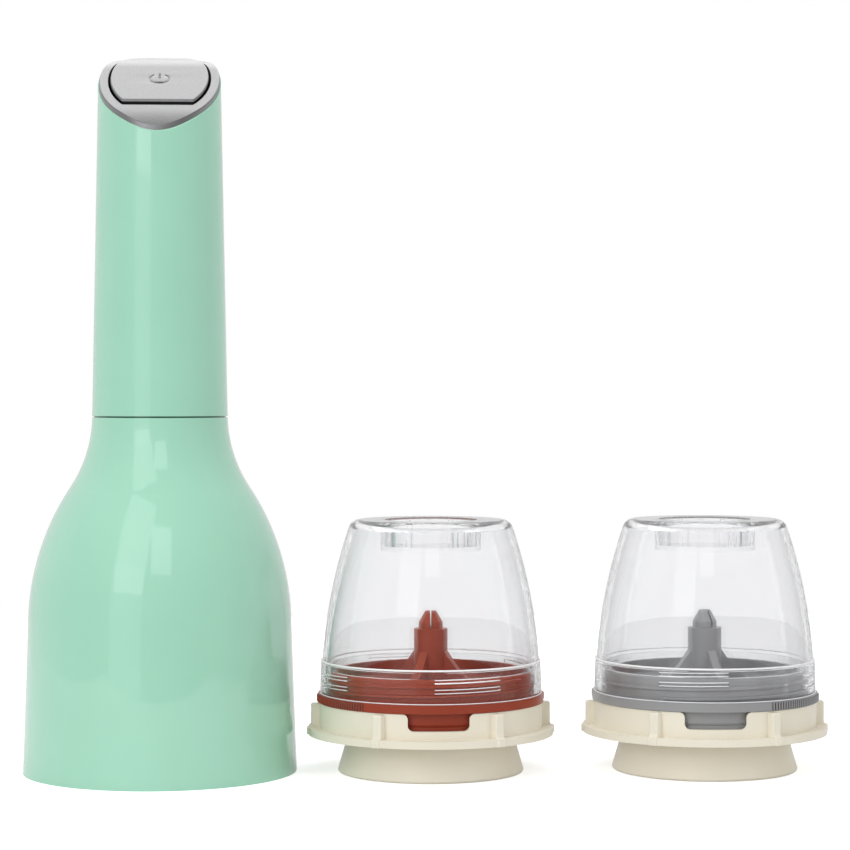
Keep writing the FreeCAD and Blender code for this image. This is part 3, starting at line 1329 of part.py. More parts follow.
def button():
    """The push button, hollow below, with a stem that snaps through the retainer."""
    form = button_prism(BUTTON_GAP, BUTTON_FRONT_GAP, BUTTON_SKIRT_Z).common(below_slant(BUTTON_RAISE))
    crown = rounded_top(form, BUTTON_EDGE_R)
    hollow = button_prism(BUTTON_GAP + BUTTON_WALL, BUTTON_FRONT_GAP + BUTTON_WALL, BUTTON_SKIRT_Z)
    cap = crown.cut(hollow.common(below_slant(BUTTON_RAISE - BUTTON_WALL)))
    ceiling = below_slant(BUTTON_RAISE - BUTTON_WALL / 2)
    head_top = RETAINER_TOP_Z - RETAINER_T - STEM_FIT
    seat_z = RETAINER_TOP_Z + SPRING_FREE_H
    stem = rod(STEM_R, STEM_BOTTOM_Z, SLANT_TOP_Z).common(ceiling)
    shoulder_z = STEM_BOTTOM_Z + STEM_HEAD_R - STEM_R
    outline = Outline(0, STEM_BOTTOM_Z)
    outline.to((STEM_R, STEM_BOTTOM_Z), (STEM_HEAD_R, shoulder_z), (STEM_HEAD_R, head_top), (0, head_top))
    return joined([cap, stem, outline.solid(), rod(SPRING_SEAT_R, seat_z, seat_z + SPRING_SEAT_H)])


def button_retainer():
    """The plate that guides the button's stem."""
    bottom = RETAINER_TOP_Z - RETAINER_T
    radius = handle_r(RETAINER_TOP_Z) - HANDLE_WALL - RETAINER_GAP
    return tube(radius, STEM_R + STEM_FIT, bottom, RETAINER_TOP_Z)


def button_spring():
    """A rubber cup that lifts the button, narrow at the top and wide at the bottom."""
    top = RETAINER_TOP_Z + SPRING_FREE_H
    inner = STEM_R + SPRING_WALL / 2
    outline = Outline(SPRING_SEAT_R, RETAINER_TOP_Z)
    outline.to((SPRING_SEAT_R + SPRING_WALL, RETAINER_TOP_Z), (inner + SPRING_WALL, top), (inner, top))
    return outline.solid()


def mill():
    pieces = {
        "lower_housing": lower_housing(),
        "pod_chamber": pod_chamber(),
        "pod_clips": pod_clips(),
        "chamber_screws": chamber_screws(),
        "gearbox_housing": gearbox_housing(),
        "gearbox_cover": gearbox_cover(),
        "gearbox_screws": gearbox_screws(),
        "output_bushing": output_bushing(),
        "planet_carrier": planet_carrier(),
        "planet_pins": planet_pins(),
        "sun_gear": sun_gear(),
        "drive_coupler": drive_coupler(),
        "coupler_screw": coupler_screw(),
        "motor_case": motor_case(),
        "motor_end_cap": motor_end_cap(),
        "motor_shaft": motor_shaft(),
        "motor_screws": motor_screws(),
        "motor_terminals": motor_terminals(),
        "neck_ring": neck_ring(),
        "battery_holder": battery_holder(),
        "holder_screws": holder_screws(),
        "battery_contacts_lower": battery_contacts(True),
        "battery_contacts_upper": battery_contacts(False),
        "switch_board": switch_board(),
        "switch_body": switch_body(),
        "switch_plunger": switch_plunger(),
        "handle_shell": handle_shell(),
        "bezel": bezel(),
        "button": button(),
        "button_retainer": button_retainer(),
        "button_spring": button_spring(),
    }
    pieces.update(planet_gears())
    pieces.update(batteries())
    return pieces


def main():
    pieces = mill()
    for index in range(len(POD_NAMES)):
        pieces.update(pod(index))
    os.makedirs("parts", exist_ok=True)
    for name, shape in pieces.items():
        shape.exportStep(f"parts/{name}.step")


main()
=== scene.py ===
import json
import math

import bmesh
import bpy
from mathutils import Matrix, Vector

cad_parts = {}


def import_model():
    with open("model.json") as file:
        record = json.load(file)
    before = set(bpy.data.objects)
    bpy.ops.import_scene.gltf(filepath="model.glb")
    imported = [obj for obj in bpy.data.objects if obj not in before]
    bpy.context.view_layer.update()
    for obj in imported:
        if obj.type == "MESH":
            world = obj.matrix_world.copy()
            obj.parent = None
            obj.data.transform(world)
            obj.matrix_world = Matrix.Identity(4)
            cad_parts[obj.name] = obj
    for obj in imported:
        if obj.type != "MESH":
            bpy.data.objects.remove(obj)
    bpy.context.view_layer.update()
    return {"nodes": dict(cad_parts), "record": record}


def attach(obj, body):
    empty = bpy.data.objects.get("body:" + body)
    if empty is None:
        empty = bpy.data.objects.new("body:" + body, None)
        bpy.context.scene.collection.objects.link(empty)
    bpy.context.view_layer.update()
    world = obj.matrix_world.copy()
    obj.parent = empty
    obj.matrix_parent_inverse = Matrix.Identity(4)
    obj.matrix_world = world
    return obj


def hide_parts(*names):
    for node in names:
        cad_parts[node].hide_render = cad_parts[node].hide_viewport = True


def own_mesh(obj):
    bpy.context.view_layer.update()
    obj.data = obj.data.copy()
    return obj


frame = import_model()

MM = 0.001
WHITE = (1, 1, 1, 1)

# Camera, fitted to the photograph, in metres and degrees, with its lens in millimetres
CAMERA_PLACE = (0.03868, -0.74124, 0.11069)
CAMERA_PITCH = 89.235
CAMERA_YAW = -2.986
CAMERA_LENS = 107.22
CAMERA_SENSOR = 36.0
CAMERA_NEAR = 0.01

# Studio, in metres. Levels are brightness, and 1 is white.
STUDIO_CENTRE = (0.05, 0.0, 0.1)
WORLD_LEVEL = 0.54
SKY_LEVELS = (0.1, 0.8)
SKY_REACH = (-0.9, 0.7)
FLOOR_HALF = 0.5
FLOOR_SHADE = 0.8
FLOOR_ROUGHNESS = 0.9
FLOOR_GLOW = 0.6
FLOOR_GLOW_IN_PIECES = 0.22

# Lamps: place, width, height and level. The second set only shows in gloss.
LAMPS = {
    "key": ((-0.65, -0.9, 0.6), 0.5, 0.9, 4.0),
    "fill": ((0.95, -0.7, 0.45), 0.5, 0.9, 1.5),
    "top": ((0.05, 0.05, 1.0), 0.9, 0.6, 1.7),
}
GLOSS_LAMPS = {
    "window_left": ((-0.33, -0.71, 0.63), 0.46, 0.8, 1.35),
    "window_right": ((0.06, -0.81, 0.61), 0.3, 0.4, 1.7),
    "wall": ((-0.45, -0.88, 0.24), 0.5, 0.55, 0.7),
    "back": ((0.03, 0.6, 0.88), 0.9, 0.35, 0.8),
}

# Pods, as part.py places them, in millimetres and degrees
POD_CENTRES = ((78.8, -4.2), (159.3, -4.2))
COLLAR_SLOTS = ("rust_plastic", "pod_grey_plastic")
RIM_R = 32.9
RIM_LOW_Z = 20.6
RIM_HIGH_Z = 22.75

# Knurl on the rims. A ridge is drawn by places along its pitch and heights above the rim.
KNURL_TURNS = (-89.0, 27.0)
KNURL_SPAN = 50.0
KNURL_COUNT = 30
RIDGE = ((-0.5, 0.02), (-0.35, 0.05), (-0.18, 0.3), (0.0, 0.36), (0.18, 0.3), (0.35, 0.05))
RIDGE_SUNK = 0.25
RIDGE_BEVEL_W = 0.12
RIDGE_BEVEL_H = 0.15
# Heights above the rim over which the painted shade in the valleys fades
VALLEY_HEIGHTS = (0.03, 0.3)

# Domes, as part.py shapes them, and the white beads on their edges that are painted highlights
LUG_TURNS = (-1.0, 146.0)
LUG_STARTS = (0, 90, 180, -90)
LUG_SPAN = 37.5
LUG_R = 30.25
LUG_HALF_W = 0.5
LUG_HEIGHTS = (26.405, 29.155)
THREAD_PITCH = 2.75
DOME_FOOT = (32.25, 23.08)
DOME_LEDGE = (31.85, 32.42)
LUG_BEAD_R = 0.14
FOOT_BEAD_R = 0.16
LEDGE_BEAD_R = 0.28
BEAD_SIDES = 8
LUG_BEAD_STEPS = 13
ROUND_BEAD_STEPS = 400

# Slanted top, as part.py shapes it
SLANT_ANGLE = 38.0
SLANT_MID_Z = 201.6
BUTTON_RAISE = 0.7
# How far below and above the slanted face the painted shade in the button's gap fades, in
# millimetres
GAP_SHADOW = (-0.05, 0.1)

# Joint line between the bell and the handle, and the painted shade in its groove
SEAM_Z = 103.3
SEAM_HALF_GAP = 0.2
SEAM_FADE = 0.1

# Power symbol on the button
SYMBOL_R = 2.85
SYMBOL_SQUASH = 0.86
SYMBOL_Y = -0.85
SYMBOL_LINE = 0.9
SYMBOL_DEPTH = 0.42
SYMBOL_GAP = 35.0
SYMBOL_BAR_LOW = 0.2
SYMBOL_BAR_TOP = 2.5
SYMBOL_RING_STEPS = 60
SYMBOL_END_STEPS = 10

# Surfaces: sizes and depths of their features in millimetres, and how far their roughness strays
DRIFT_SIZE = 28
POLISH_SIZE = 9
WAVE_SIZE = 16
WAVE_DEPTH = 0.01
PLASTIC_ROUGHNESS_STRAY = (-0.04, 0.05)
SPARKLE_SIZE = 0.3
SPARKLE_DEPTH = 0.012
SPARKLE_SHADE = 0.93
LACQUER_WAVE_SIZE = 14
LACQUER_ROUGHNESS = (0.38, 0.48)
# Where the lacquer's painted shade is darkest and where it ends, as how far a face turns up
PAINTED_BEND_SHADE_FACING_UP = 0.45
PAINTED_SHADE_END_FACING_UP = 0.785
CLEAR_WAVE_SIZE = 11
CLEAR_POLISH_SIZE = 7
CLEAR_ROUGHNESS_STRAY = 0.02
CLEAR_EDGE_BLEND = 0.25
DRAWN_SHADE = 0.88
DRAWN_DEPTH = 0.004
METAL_ROUGHNESS_STRAY = (-0.06, 0.1)
NOISE_MIDDLE = (0.3, 0.7)

# Colours of painted shade: in the knurl's valleys, in the button's gap and in the seam's groove
VALLEY_PAINTED_SHADE_TONE = (60, 50, 46)
GAP_PAINTED_SHADE_TONE = (34, 34, 35)
SEAM_PAINTED_SHADE_TONE = (62, 116, 94)

WELD_DISTANCE = 1e-6
SHARP_ANGLE = 30.0


# Nodes


def add_node(tree, kind, values, **settings):
    """A new node's outputs. Its inputs, by name or number, get a link or a plain value."""
    node = tree.nodes.new("ShaderNode" + kind)
    for name, value in settings.items():
        setattr(node, name, value)
    for name, value in values.items():
        feed(tree, node.inputs[name], value)
    return node.outputs


def feed(tree, socket, value):
    if isinstance(value, bpy.types.NodeSocket):
        tree.links.new(value, socket)
    else:
        socket.default_value = value


def maths(tree, operation, *values):
    return add_node(tree, "Math", dict(enumerate(values)), operation=operation)[0]


def vectors(tree, operation, *values):
    return add_node(tree, "VectorMath", dict(enumerate(values)), operation=operation)


def spread(tree, value, source, target=(0.0, 1.0), **settings):
    """A value whose range is spread over another range."""
    values = {"Value": value, "From Min": source[0], "From Max": source[1]}
    values.update({"To Min": target[0], "To Max": target[1]})
    return add_node(tree, "MapRange", values, **settings)["Result"]


# Materials


def linear(colour):
    """A colour written as 0 to 255, as the shader's linear values."""
    parts = [value / 255 for value in colour]
    return [p / 12.92 if p <= 0.04045 else ((p + 0.055) / 1.055) ** 2.4 for p in parts] + [1.0]


def toned(colour, factor):
    return linear([factor * value for value in colour])


class Shader:
    """A material and short calls for its nodes."""

    def __init__(self, name, material=None):
        self.material = material or bpy.data.materials.new(name)
        self.material.name = name
        self.material.use_nodes = True
        self.tree = self.material.node_tree
        self.inputs = self.tree.nodes["Principled BSDF"].inputs
        coordinates = add_node(self.tree, "TexCoord", {})
        self.place = coordinates["Object"]
        self.normal = coordinates["Normal"]

    def set(self, values):
        """Feeds the surface's own inputs."""
        for name, value in values.items():
            feed(self.tree, self.inputs[name], value)
        return self

    def noise(self, size_mm, detail=3.0, stretch=(1, 1, 1)):
        """A noise whose features are about a size in millimetres."""
        place = add_node(self.tree, "Mapping", {"Vector": self.place, "Scale": stretch})["Vector"]
        values = {"Vector": place, "Scale": 1 / (size_mm * MM), "Detail": detail}
        return add_node(self.tree, "TexNoise", values)["Fac"]

    def mixed(self, fac, first, second, blend_type="MIX"):
        values = {"Factor": fac, "A": first, "B": second}
        outputs = add_node(self.tree, "Mix", values, data_type="RGBA", blend_type=blend_type)
        return outputs["Result"]

    def coloured(self, value, first, second):
        """The base colour, mixed of two by the middle range of a value."""
        fac = spread(self.tree, value, NOISE_MIDDLE)
        return self.set({"Base Color": self.mixed(fac, first, second)})

    def roughness(self, value, low, high):
        return self.set({"Roughness": spread(self.tree, value, NOISE_MIDDLE, (low, high))})

    def bump(self, *layers):
        """Bumps stacked on each other, each a height value and a depth in millimetres."""
        last = None
        for value, depth in layers:
            values = {"Strength": 1.0, "Distance": depth * MM, "Height": value}
            if last:
                values["Normal"] = last
            last = add_node(self.tree, "Bump", values)["Normal"]
        return self.set({"Normal": last})

    def height_of(self, vector):
        return add_node(self.tree, "SeparateXYZ", {0: vector})["Z"]

    def base_colour(self):
        return self.inputs["Base Color"].links[0].from_socket

    def with_painted_shade(self, value, low, high, dark):
        """The material, with painted shade: its base colour turned dark where a value falls from
        high to low.
        """
        fac = spread(self.tree, value, (low, high))
        mix = self.mixed(fac, linear(dark), self.base_colour())
        return self.set({"Base Color": mix}).material


def plastic(name, colour, shade, rough, grain=0.4, depth=0.006, more=None):
    """Moulded plastic: slow colour drift, uneven polish, moulding waves and a fine grain."""
    shader = Shader(name)
    shader.coloured(shader.noise(DRIFT_SIZE, 2.0), linear(colour), linear(shade))
    low, high = (rough + stray for stray in PLASTIC_ROUGHNESS_STRAY)
    shader.roughness(shader.noise(POLISH_SIZE), low, high)
    shader.bump((shader.noise(WAVE_SIZE, 1.0), WAVE_DEPTH), (shader.noise(grain), depth))
    return shader.set(more or {}).material


def silver_with_painted_shade(name, colour, painted_bend_shade, side):
    """Metallic lacquer with a fine sparkle. Painted shade darkens it where it bends down and on
    upright sides, and leaves it full where it faces up.
    """
    shader = Shader(name)
    grain = shader.noise(SPARKLE_SIZE, 4.0)
    shader.coloured(grain, linear(colour), toned(colour, SPARKLE_SHADE))
    # Painted shade by how far a face turns up: the side colour on upright faces, the bend colour
    # where the face bends down
    painted_facing_shade = shader.tree.nodes.new("ShaderNodeValToRGB")
    feed(shader.tree, painted_facing_shade.inputs["Fac"], shader.height_of(shader.normal))
    stops = painted_facing_shade.color_ramp.elements
    stops[0].color = linear(side)
    stops.new(PAINTED_BEND_SHADE_FACING_UP).color = linear(painted_bend_shade)
    stops.new(PAINTED_SHADE_END_FACING_UP).color = WHITE
    mix = shader.mixed(1.0, shader.base_colour(), painted_facing_shade.outputs["Color"], "MULTIPLY")
    shader.set({"Base Color": mix, "Metallic": 0.9})
    shader.roughness(grain, *LACQUER_ROUGHNESS)
    shader.bump((shader.noise(LACQUER_WAVE_SIZE, 1.0), WAVE_DEPTH), (grain, SPARKLE_DEPTH))
    return shader.material


def clear(name, colour, edge, ior, rough, wave):
    """A clear moulding with flow waves and an uneven polish, greyer where it is seen edge on."""
    shader = Shader(name)
    facing = add_node(shader.tree, "LayerWeight", {"Blend": CLEAR_EDGE_BLEND})["Facing"]
    shader.coloured(facing, linear(colour), linear(edge))
    shader.set({"Transmission Weight": 1.0, "IOR": ior, "Specular IOR Level": 0.25, "Alpha": 0.92})
    shader.roughness(shader.noise(CLEAR_POLISH_SIZE), rough, rough + CLEAR_ROUGHNESS_STRAY)
    return shader.bump((shader.noise(CLEAR_WAVE_SIZE, 1.0), wave)).material


def metal(name, colour, rough, stretch=(1, 1, 1), grain=0.5):
    """Metal with fine drawn or turned lines."""
    shader = Shader(name)
    lines = shader.noise(grain, 4.0, stretch)
    shader.coloured(lines, linear(colour), toned(colour, DRAWN_SHADE)).set({"Metallic": 1.0})
    low, high = (rough + stray for stray in METAL_ROUGHNESS_STRAY)
    shader.roughness(lines, low, high)
    return shader.bump((lines, DRAWN_DEPTH)).material


def ridged(material, centre, radius):
    """A copy of a plastic with painted shade in its valleys, near a radius about an upright axis.
    """
    shader = Shader(material.name + "_ridged", material.copy())
    flat = vectors(shader.tree, "MULTIPLY", shader.place, (1, 1, 0))["Vector"]
    away = vectors(shader.tree, "DISTANCE", flat, (*centre, 0))["Value"]
    low, high = (radius + height * MM for height in VALLEY_HEIGHTS)
    return shader.with_painted_shade(away, low, high, VALLEY_PAINTED_SHADE_TONE)


def shadowed(material):
    """A copy of the lacquer for the button, with painted shade on upright faces below the slanted
    face, in the gap around it.
    """
    shader = Shader(material.name + "_button", material.copy())
    angle = math.radians(SLANT_ANGLE)
    slant_normal = (0, -math.sin(angle), math.cos(angle))
    lift = vectors(shader.tree, "DOT_PRODUCT", shader.place, slant_normal)["Value"]
    plane = SLANT_MID_Z * math.cos(angle) * MM
    facing_up = maths(shader.tree, "MULTIPLY", shader.height_of(shader.normal), 2 * plane)
    out_of_gap_shade = maths(shader.tree, "MAXIMUM", lift, facing_up)
    low, high = (plane + height * MM for height in GAP_SHADOW)
    return shader.with_painted_shade(out_of_gap_shade, low, high, GAP_PAINTED_SHADE_TONE)


def with_seam_painted_shade(material):
    """The mint plastic, with painted shade in the groove where the handle meets the bell."""
    shader = Shader(material.name, material)
    away = maths(shader.tree, "SUBTRACT", shader.height_of(shader.place), SEAM_Z * MM)
    size = maths(shader.tree, "ABSOLUTE", away)
    edge = SEAM_HALF_GAP * MM
    return shader.with_painted_shade(size, edge, edge + SEAM_FADE * MM, SEAM_PAINTED_SHADE_TONE)


def slot_materials():
    """One material for each slot of the record."""
    gloss = {"Coat Weight": 0.5, "Coat Roughness": 0.06}
    lacquer = {"Coat Weight": 1.0, "Coat Roughness": 0.03, "Specular IOR Level": 0.2}
    dull = {"Specular IOR Level": 0.3}
    lines = (1, 1, 12)
    plastics = {
        "mint_gloss": ((167, 221, 196), (164, 218, 193), 0.38, 3.0, 0.001, lacquer),
        "rust_plastic": ((155, 62, 38), (145, 56, 33), 0.34, 0.5, 0.01, dull),
        "pod_grey_plastic": ((154, 154, 155), (145, 145, 147), 0.36, 0.5, 0.01),
        "cream_plastic": ((240, 234, 218), (235, 228, 210), 0.42, 0.3, 0.01),
        "white_plastic": ((226, 226, 222), (218, 218, 213), 0.4),
        "dark_plastic": ((44, 45, 47), (36, 37, 39), 0.45, 0.3, 0.01),
        "board_green": ((22, 92, 54), (17, 78, 45), 0.34, 1.2, 0.012),
        "cell_jacket": ((58, 61, 66), (50, 53, 58), 0.2, 1.0, 0.003, gloss),
        "rubber_black": ((33, 33, 34), (27, 27, 28), 0.6, 0.35, 0.012),
        "burr_ceramic": ((229, 226, 217), (219, 215, 205), 0.42, 0.3, 0.01),
    }
    clears = {
        "clear_plastic": ((250, 250, 251), (176, 178, 181), 1.3, 0.0, 0.002),
        "silicone": ((248, 249, 249), (226, 227, 228), 1.35, 0.06, 0.004),
    }
    metals = {
        "steel": ((190, 191, 193), 0.36, lines),
        "brass": ((206, 172, 98), 0.36, lines),
    }
    # The lacquer's colour, then its painted shade where it bends down, then its painted shade on
    # upright sides
    lacquers_with_painted_shade = {"grey_satin": ((229, 229, 230), (162, 162, 163), (194, 194, 195))}
    kinds = ((plastic, plastics), (clear, clears), (metal, metals), (silver_with_painted_shade, lacquers_with_painted_shade))
    made = {name: make(name, *values) for make, table in kinds for name, values in table.items()}
    # The mint plastic gets painted shade in the seam's groove
    made["mint_gloss"] = with_seam_painted_shade(made["mint_gloss"])
    return made


def dress(materials):
    """Gives every CAD node its slot's material. Clear nodes let light through to what they hold."""
    for part in frame["record"]["subparts"]:
        node = frame["nodes"][part["node"]]
        node.data.materials.clear()
        node.data.materials.append(materials[part["material_slot"]])
        if part["material_slot"] in ("clear_plastic", "silicone"):
            node.visible_shadow = False
            node.visible_diffuse = False


# Details that the CAD leaves to this script


def around(azimuth, radius):
    angle = math.radians(azimuth)
    return radius * math.sin(angle), -radius * math.cos(angle)


def object_from(name, mesh):
    """A new object in the scene, from a finished bmesh."""
    data = bpy.data.meshes.new(name)
    mesh.to_mesh(data)
    mesh.free()
    piece = bpy.data.objects.new(name, data)
    bpy.context.scene.collection.objects.link(piece)
    return piece


def detail(name, mesh, material, body, slot_name):
    bmesh.ops.recalc_face_normals(mesh, faces=mesh.faces)
    piece = object_from(name, mesh)
    piece.data.materials.append(material)
    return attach(piece, body)


def bridge(mesh, first, second, smooth=False):
    """Faces between two rings of vertices."""
    for i, corner in enumerate(first):
        j = (i + 1) % len(first)
        mesh.faces.new((corner, first[j], second[j], second[i])).smooth = smooth


def cap_ends(mesh, rings):
    mesh.faces.new(rings[0][::-1])
    mesh.faces.new(rings[-1])


def sweep(mesh, centre, sections):
    """A closed band about an upright axis. A section is an azimuth, and radii with heights."""
    rows = []
    for azimuth, section in sections:
        row = []
        for radius, height in section:
            x, y = around(azimuth, radius)
            row.append(mesh.verts.new(((centre[0] + x) * MM, (centre[1] + y) * MM, height * MM)))
        rows.append(row)
    full = abs(sections[-1][0] - sections[0][0]) > 359
    if full:
        rows.append(rows[0])
    for first, second in zip(rows, rows[1:]):
        bridge(mesh, first, second, smooth=True)
    if not full:
        cap_ends(mesh, rows)


def ridge_section(radius):
    """Radii and heights of a band on the rim that reaches out to a radius, with bevelled edges."""
    root = RIM_R - RIDGE_SUNK
    edge = radius - RIDGE_BEVEL_W
    low = [(root, RIM_LOW_Z), (edge, RIM_LOW_Z), (radius, RIM_LOW_Z + RIDGE_BEVEL_H)]
    high = [(radius, RIM_HIGH_Z - RIDGE_BEVEL_H), (edge, RIM_HIGH_Z), (root, RIM_HIGH_Z)]
    return low + high


def knurl(index, materials):
    """Fine upright ridges on two sides of a collar's rim."""
    pitch = KNURL_SPAN / (KNURL_COUNT - 1)
    name = f"pod_{index + 1}"
    centre = POD_CENTRES[index]
    mesh = bmesh.new()
    for side in (0, 180):
        start = KNURL_TURNS[index] + side
        sections = [
            (start + pitch * (i + turn), ridge_section(RIM_R + out))
            for i in range(KNURL_COUNT)
            for turn, out in RIDGE
        ]
        sweep(mesh, centre, sections)
    slot_name = COLLAR_SLOTS[index]
    # The collar's plastic, with painted shade in the knurl's valleys
    material = ridged(materials[slot_name], [value * MM for value in centre], RIM_R * MM)
    return detail(f"{name}_knurl", mesh, material, f"{name}_rotor", slot_name)


def bead(mesh, centre, arc, thickness):
    """A round bead along an arc of azimuths, radii and heights."""
    ring = [around(360 / BEAD_SIDES * k, thickness) for k in range(BEAD_SIDES)]
    sections = [
        (azimuth, [(radius + out, height + up) for out, up in ring])
        for azimuth, radius, height in arc
    ]
    sweep(mesh, centre, sections)


def lug_edge(turn, start, height, side):
    """The arc along one edge of a lug, which climbs with the thread."""
    arc = []
    for i in range(LUG_BEAD_STEPS + 1):
        along = LUG_SPAN * i / LUG_BEAD_STEPS
        climb = THREAD_PITCH * (start + along) / 360
        arc.append((turn + start + along, LUG_R, height + climb + side))
    return arc


def painted_highlight_beads(index, material):
    """White beads as painted highlights on the dome's rounded edges: its foot, its ledge and the
    lugs of its thread.
    """
    mesh = bmesh.new()
    centre = POD_CENTRES[index]
    step = 360 / ROUND_BEAD_STEPS
    for (radius, height), thickness in ((DOME_FOOT, FOOT_BEAD_R), (DOME_LEDGE, LEDGE_BEAD_R)):
        circle = [(step * i, radius, height) for i in range(ROUND_BEAD_STEPS)]
        bead(mesh, centre, circle, thickness)
    for start in LUG_STARTS:
        for height in LUG_HEIGHTS:
            for side in (-LUG_HALF_W, LUG_HALF_W):
                arc = lug_edge(LUG_TURNS[index], start, height, side)
                bead(mesh, centre, arc, LUG_BEAD_R)
    name = f"pod_{index + 1}"
    return detail(f"{name}_painted_highlight_beads", mesh, material, f"{name}_lid", "clear_plastic")


def on_button(x, along, lift):
    """A point by the button's face: sideways, up the slant and off the face, in millimetres."""
    angle = math.radians(SLANT_ANGLE)
    face_z = SLANT_MID_Z + BUTTON_RAISE + math.tan(angle) * SYMBOL_Y
    y = SYMBOL_Y + along * math.cos(angle) - lift * math.sin(angle)
    z = face_z + along * math.sin(angle) + lift * math.cos(angle)
    return Vector((x, y, z)) * MM


def groove_cutter(outlines):
    """A solid through the button's face between outlines at rising lifts off it."""
    mesh = bmesh.new()
    rings = []
    for lift, outline in outlines:
        rings.append([mesh.verts.new(on_button(x, along, lift)) for x, along in outline])
    for low, high in zip(rings, rings[1:]):
        bridge(mesh, low, high)
    cap_ends(mesh, rings)
    bmesh.ops.recalc_face_normals(mesh, faces=mesh.faces)
    return object_from("groove", mesh)


def arc_points(radius, start, end, steps):
    angles = [math.radians(start + (end - start) * i / steps) for i in range(steps + 1)]
    return [(radius * math.sin(angle), radius * math.cos(angle)) for angle in angles]


def symbol_ring(half):
    """The open ring's outline, of a half width."""
    start, end = SYMBOL_GAP, 360 - SYMBOL_GAP
    outer = arc_points(SYMBOL_R + half, start, end, SYMBOL_RING_STEPS)
    inner = arc_points(SYMBOL_R - half, end, start, SYMBOL_RING_STEPS)
    return [(x, along * SYMBOL_SQUASH) for x, along in outer + inner]


def symbol_bar(half):
    """The upright bar's outline with round ends, of a half width."""
    top = arc_points(half, -90, 90, SYMBOL_END_STEPS)
    bottom = arc_points(half, 90, 270, SYMBOL_END_STEPS)
    raised = [(x, along + SYMBOL_BAR_TOP) for x, along in top]
    return raised + [(x, along + SYMBOL_BAR_LOW) for x, along in bottom]


def welded_copy(node, name):
    """A copy of a CAD node's mesh whose split vertices are joined."""
    mesh = bmesh.new()
    mesh.from_mesh(node.data)
    bmesh.ops.remove_doubles(mesh, verts=mesh.verts, dist=WELD_DISTANCE)
    return object_from(name, mesh)


def carve(piece, cutter):
    """Cuts a solid out of a piece for good, and removes the solid."""
    cut = piece.modifiers.new("groove", "BOOLEAN")
    cut.operation = "DIFFERENCE"
    cut.solver = "EXACT"
    cut.object = cutter
    depsgraph = bpy.context.evaluated_depsgraph_get()
    data = bpy.data.meshes.new_from_object(piece.evaluated_get(depsgraph))
    piece.modifiers.clear()
    piece.data = data
    bpy.data.objects.remove(cutter)


def engraved_button(material):
    """The button with its power symbol sunk into the face, in place of the plain one."""
    piece = welded_copy(frame["nodes"]["button"], "button_engraved")
    lifts = (-SYMBOL_DEPTH, SYMBOL_DEPTH)
    for outline in (symbol_ring, symbol_bar):
        carve(piece, groove_cutter([(lift, outline(SYMBOL_LINE / 2 + lift)) for lift in lifts]))
    piece.data.materials.clear()
    piece.data.materials.append(material)
    smooth(piece)
    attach(piece, "push_button")
    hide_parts("button")


def pressed_cup(material):
    """The rubber cup under the button, a smooth copy of the CAD spring that rides on the handle."""
    piece = welded_copy(frame["nodes"]["button_spring"], "button_cup")
    piece.data.materials.append(material)
    smooth(piece)
    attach(piece, "handle")
    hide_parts("button_spring")
    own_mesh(piece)


def smooth(piece):
    """Smooth shading that keeps sharp edges sharp and large flat faces flat."""
    piece.data.shade_smooth()
    piece.data.set_sharp_from_angle(angle=math.radians(SHARP_ANGLE))
    normals = piece.modifiers.new("normals", "WEIGHTED_NORMAL")
    normals.weight = 100
    normals.keep_sharp = True


# Studio


def camera():
    data = bpy.data.cameras.new("camera")
    data.lens = CAMERA_LENS
    data.sensor_width = CAMERA_SENSOR
    data.clip_start = CAMERA_NEAR
    piece = bpy.data.objects.new("camera", data)
    piece.location = CAMERA_PLACE
    piece.rotation_euler = (math.radians(CAMERA_PITCH), 0, math.radians(CAMERA_YAW))
    bpy.context.scene.collection.objects.link(piece)
    bpy.context.scene.camera = piece


def background(tree, level):
    return add_node(tree, "Background", {"Color": WHITE, "Strength": level})[0]


def sky(tree):
    """A level that rises from the front of the studio over its top to its back."""
    direction = add_node(tree, "TexCoord", {})["Generated"]
    towards_back = vectors(tree, "DOT_PRODUCT", direction, (0.0, 1.0, 0.0))["Value"]
    return spread(tree, towards_back, SKY_REACH, SKY_LEVELS, interpolation_type="SMOOTHSTEP")


def world():
    """White behind everything. Surfaces get a softer level, and gloss a studio dim at its front."""
    made = bpy.data.worlds.new("studio")
    bpy.context.scene.world = made
    made.use_nodes = True
    tree = made.node_tree
    tree.nodes.clear()
    rays = add_node(tree, "LightPath", {})
    through = maths(tree, "MAXIMUM", rays["Is Camera Ray"], rays["Is Transmission Ray"])
    last = background(tree, WORLD_LEVEL)
    for fac, level in ((rays["Is Glossy Ray"], sky(tree)), (through, 1.0)):
        last = add_node(tree, "MixShader", {"Fac": fac, 1: last, 2: background(tree, level)})[0]
    add_node(tree, "OutputWorld", {"Surface": last})


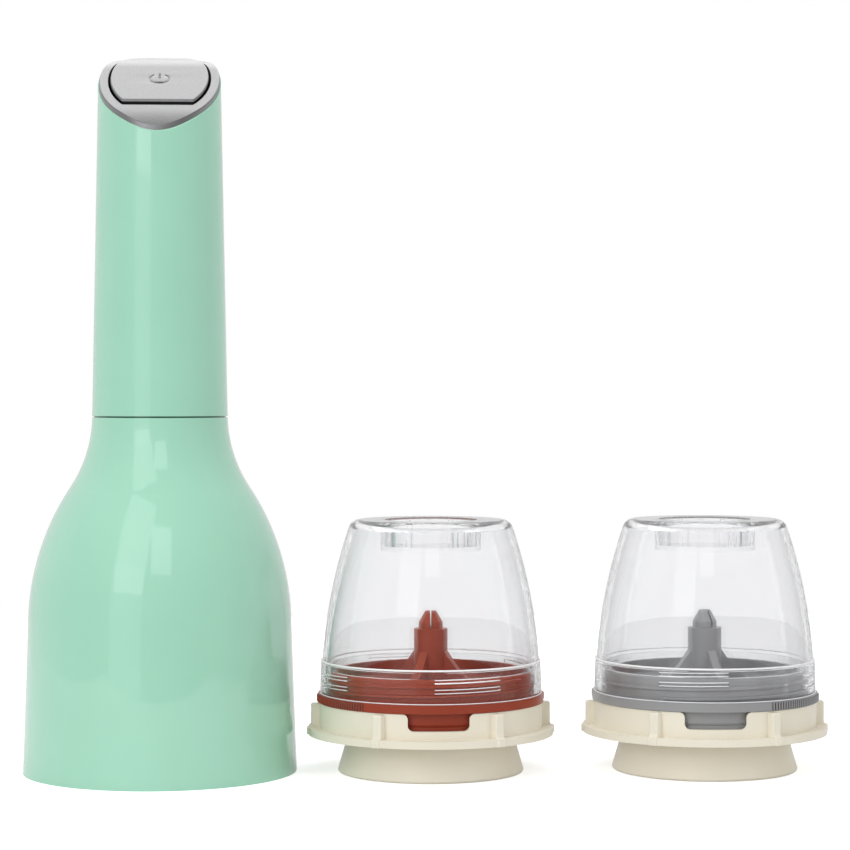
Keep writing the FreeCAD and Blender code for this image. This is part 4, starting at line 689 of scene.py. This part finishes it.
def floor():
    """A pale floor that keeps the soft shadow of the object."""
    mesh = bmesh.new()
    bmesh.ops.create_grid(mesh, x_segments=1, y_segments=1, size=FLOOR_HALF)
    piece = object_from("floor", mesh)
    material = bpy.data.materials.new("floor")
    material.use_nodes = True
    tree = material.node_tree
    bsdf = tree.nodes["Principled BSDF"]
    bsdf.inputs["Base Color"].default_value = (FLOOR_SHADE, FLOOR_SHADE, FLOOR_SHADE, 1)
    bsdf.inputs["Roughness"].default_value = FLOOR_ROUGHNESS
    bsdf.inputs["Emission Color"].default_value = WHITE
    rays = add_node(tree, "LightPath", {})
    in_pieces = maths(tree, "MAXIMUM", rays["Is Glossy Ray"], rays["Is Transmission Ray"])
    seen = maths(tree, "MULTIPLY", rays["Is Camera Ray"], FLOOR_GLOW)
    dimmer = maths(tree, "MULTIPLY", in_pieces, FLOOR_GLOW_IN_PIECES)
    feed(tree, bsdf.inputs["Emission Strength"], maths(tree, "MAXIMUM", seen, dimmer))
    piece.data.materials.append(material)


def softbox(name, place, width, height, level, lights):
    """A large soft lamp aimed at the object. It lights, or it only shows in gloss."""
    data = bpy.data.lights.new(name, "AREA")
    data.shape = "RECTANGLE"
    data.size = width
    data.size_y = height
    data.energy = level * math.pi * width * height
    piece = bpy.data.objects.new(name, data)
    piece.location = place
    aim = Vector(STUDIO_CENTRE) - Vector(place)
    piece.rotation_euler = aim.to_track_quat("-Z", "Y").to_euler()
    piece.visible_diffuse = lights
    piece.visible_glossy = not lights
    piece.visible_transmission = not lights
    bpy.context.scene.collection.objects.link(piece)


def studio():
    world()
    floor()
    for lamps, lights in ((LAMPS, True), (GLOSS_LAMPS, False)):
        for name, lamp in lamps.items():
            softbox(name, *lamp, lights)


def main():
    bpy.context.scene.view_settings.view_transform = "Standard"
    materials = slot_materials()
    dress(materials)
    # A white plastic for the beads that are painted highlights on the domes' edges
    edge = plastic("painted_highlight_white", (252, 252, 253), (246, 246, 248), 0.34, 0.5, 0.004)
    for index in range(len(POD_CENTRES)):
        knurl(index, materials)
        painted_highlight_beads(index, edge)
    # The button's lacquer, with painted shade in the gap around the button
    engraved_button(shadowed(materials["grey_satin"]))
    pressed_cup(materials["silicone"])
    camera()
    studio()


main()
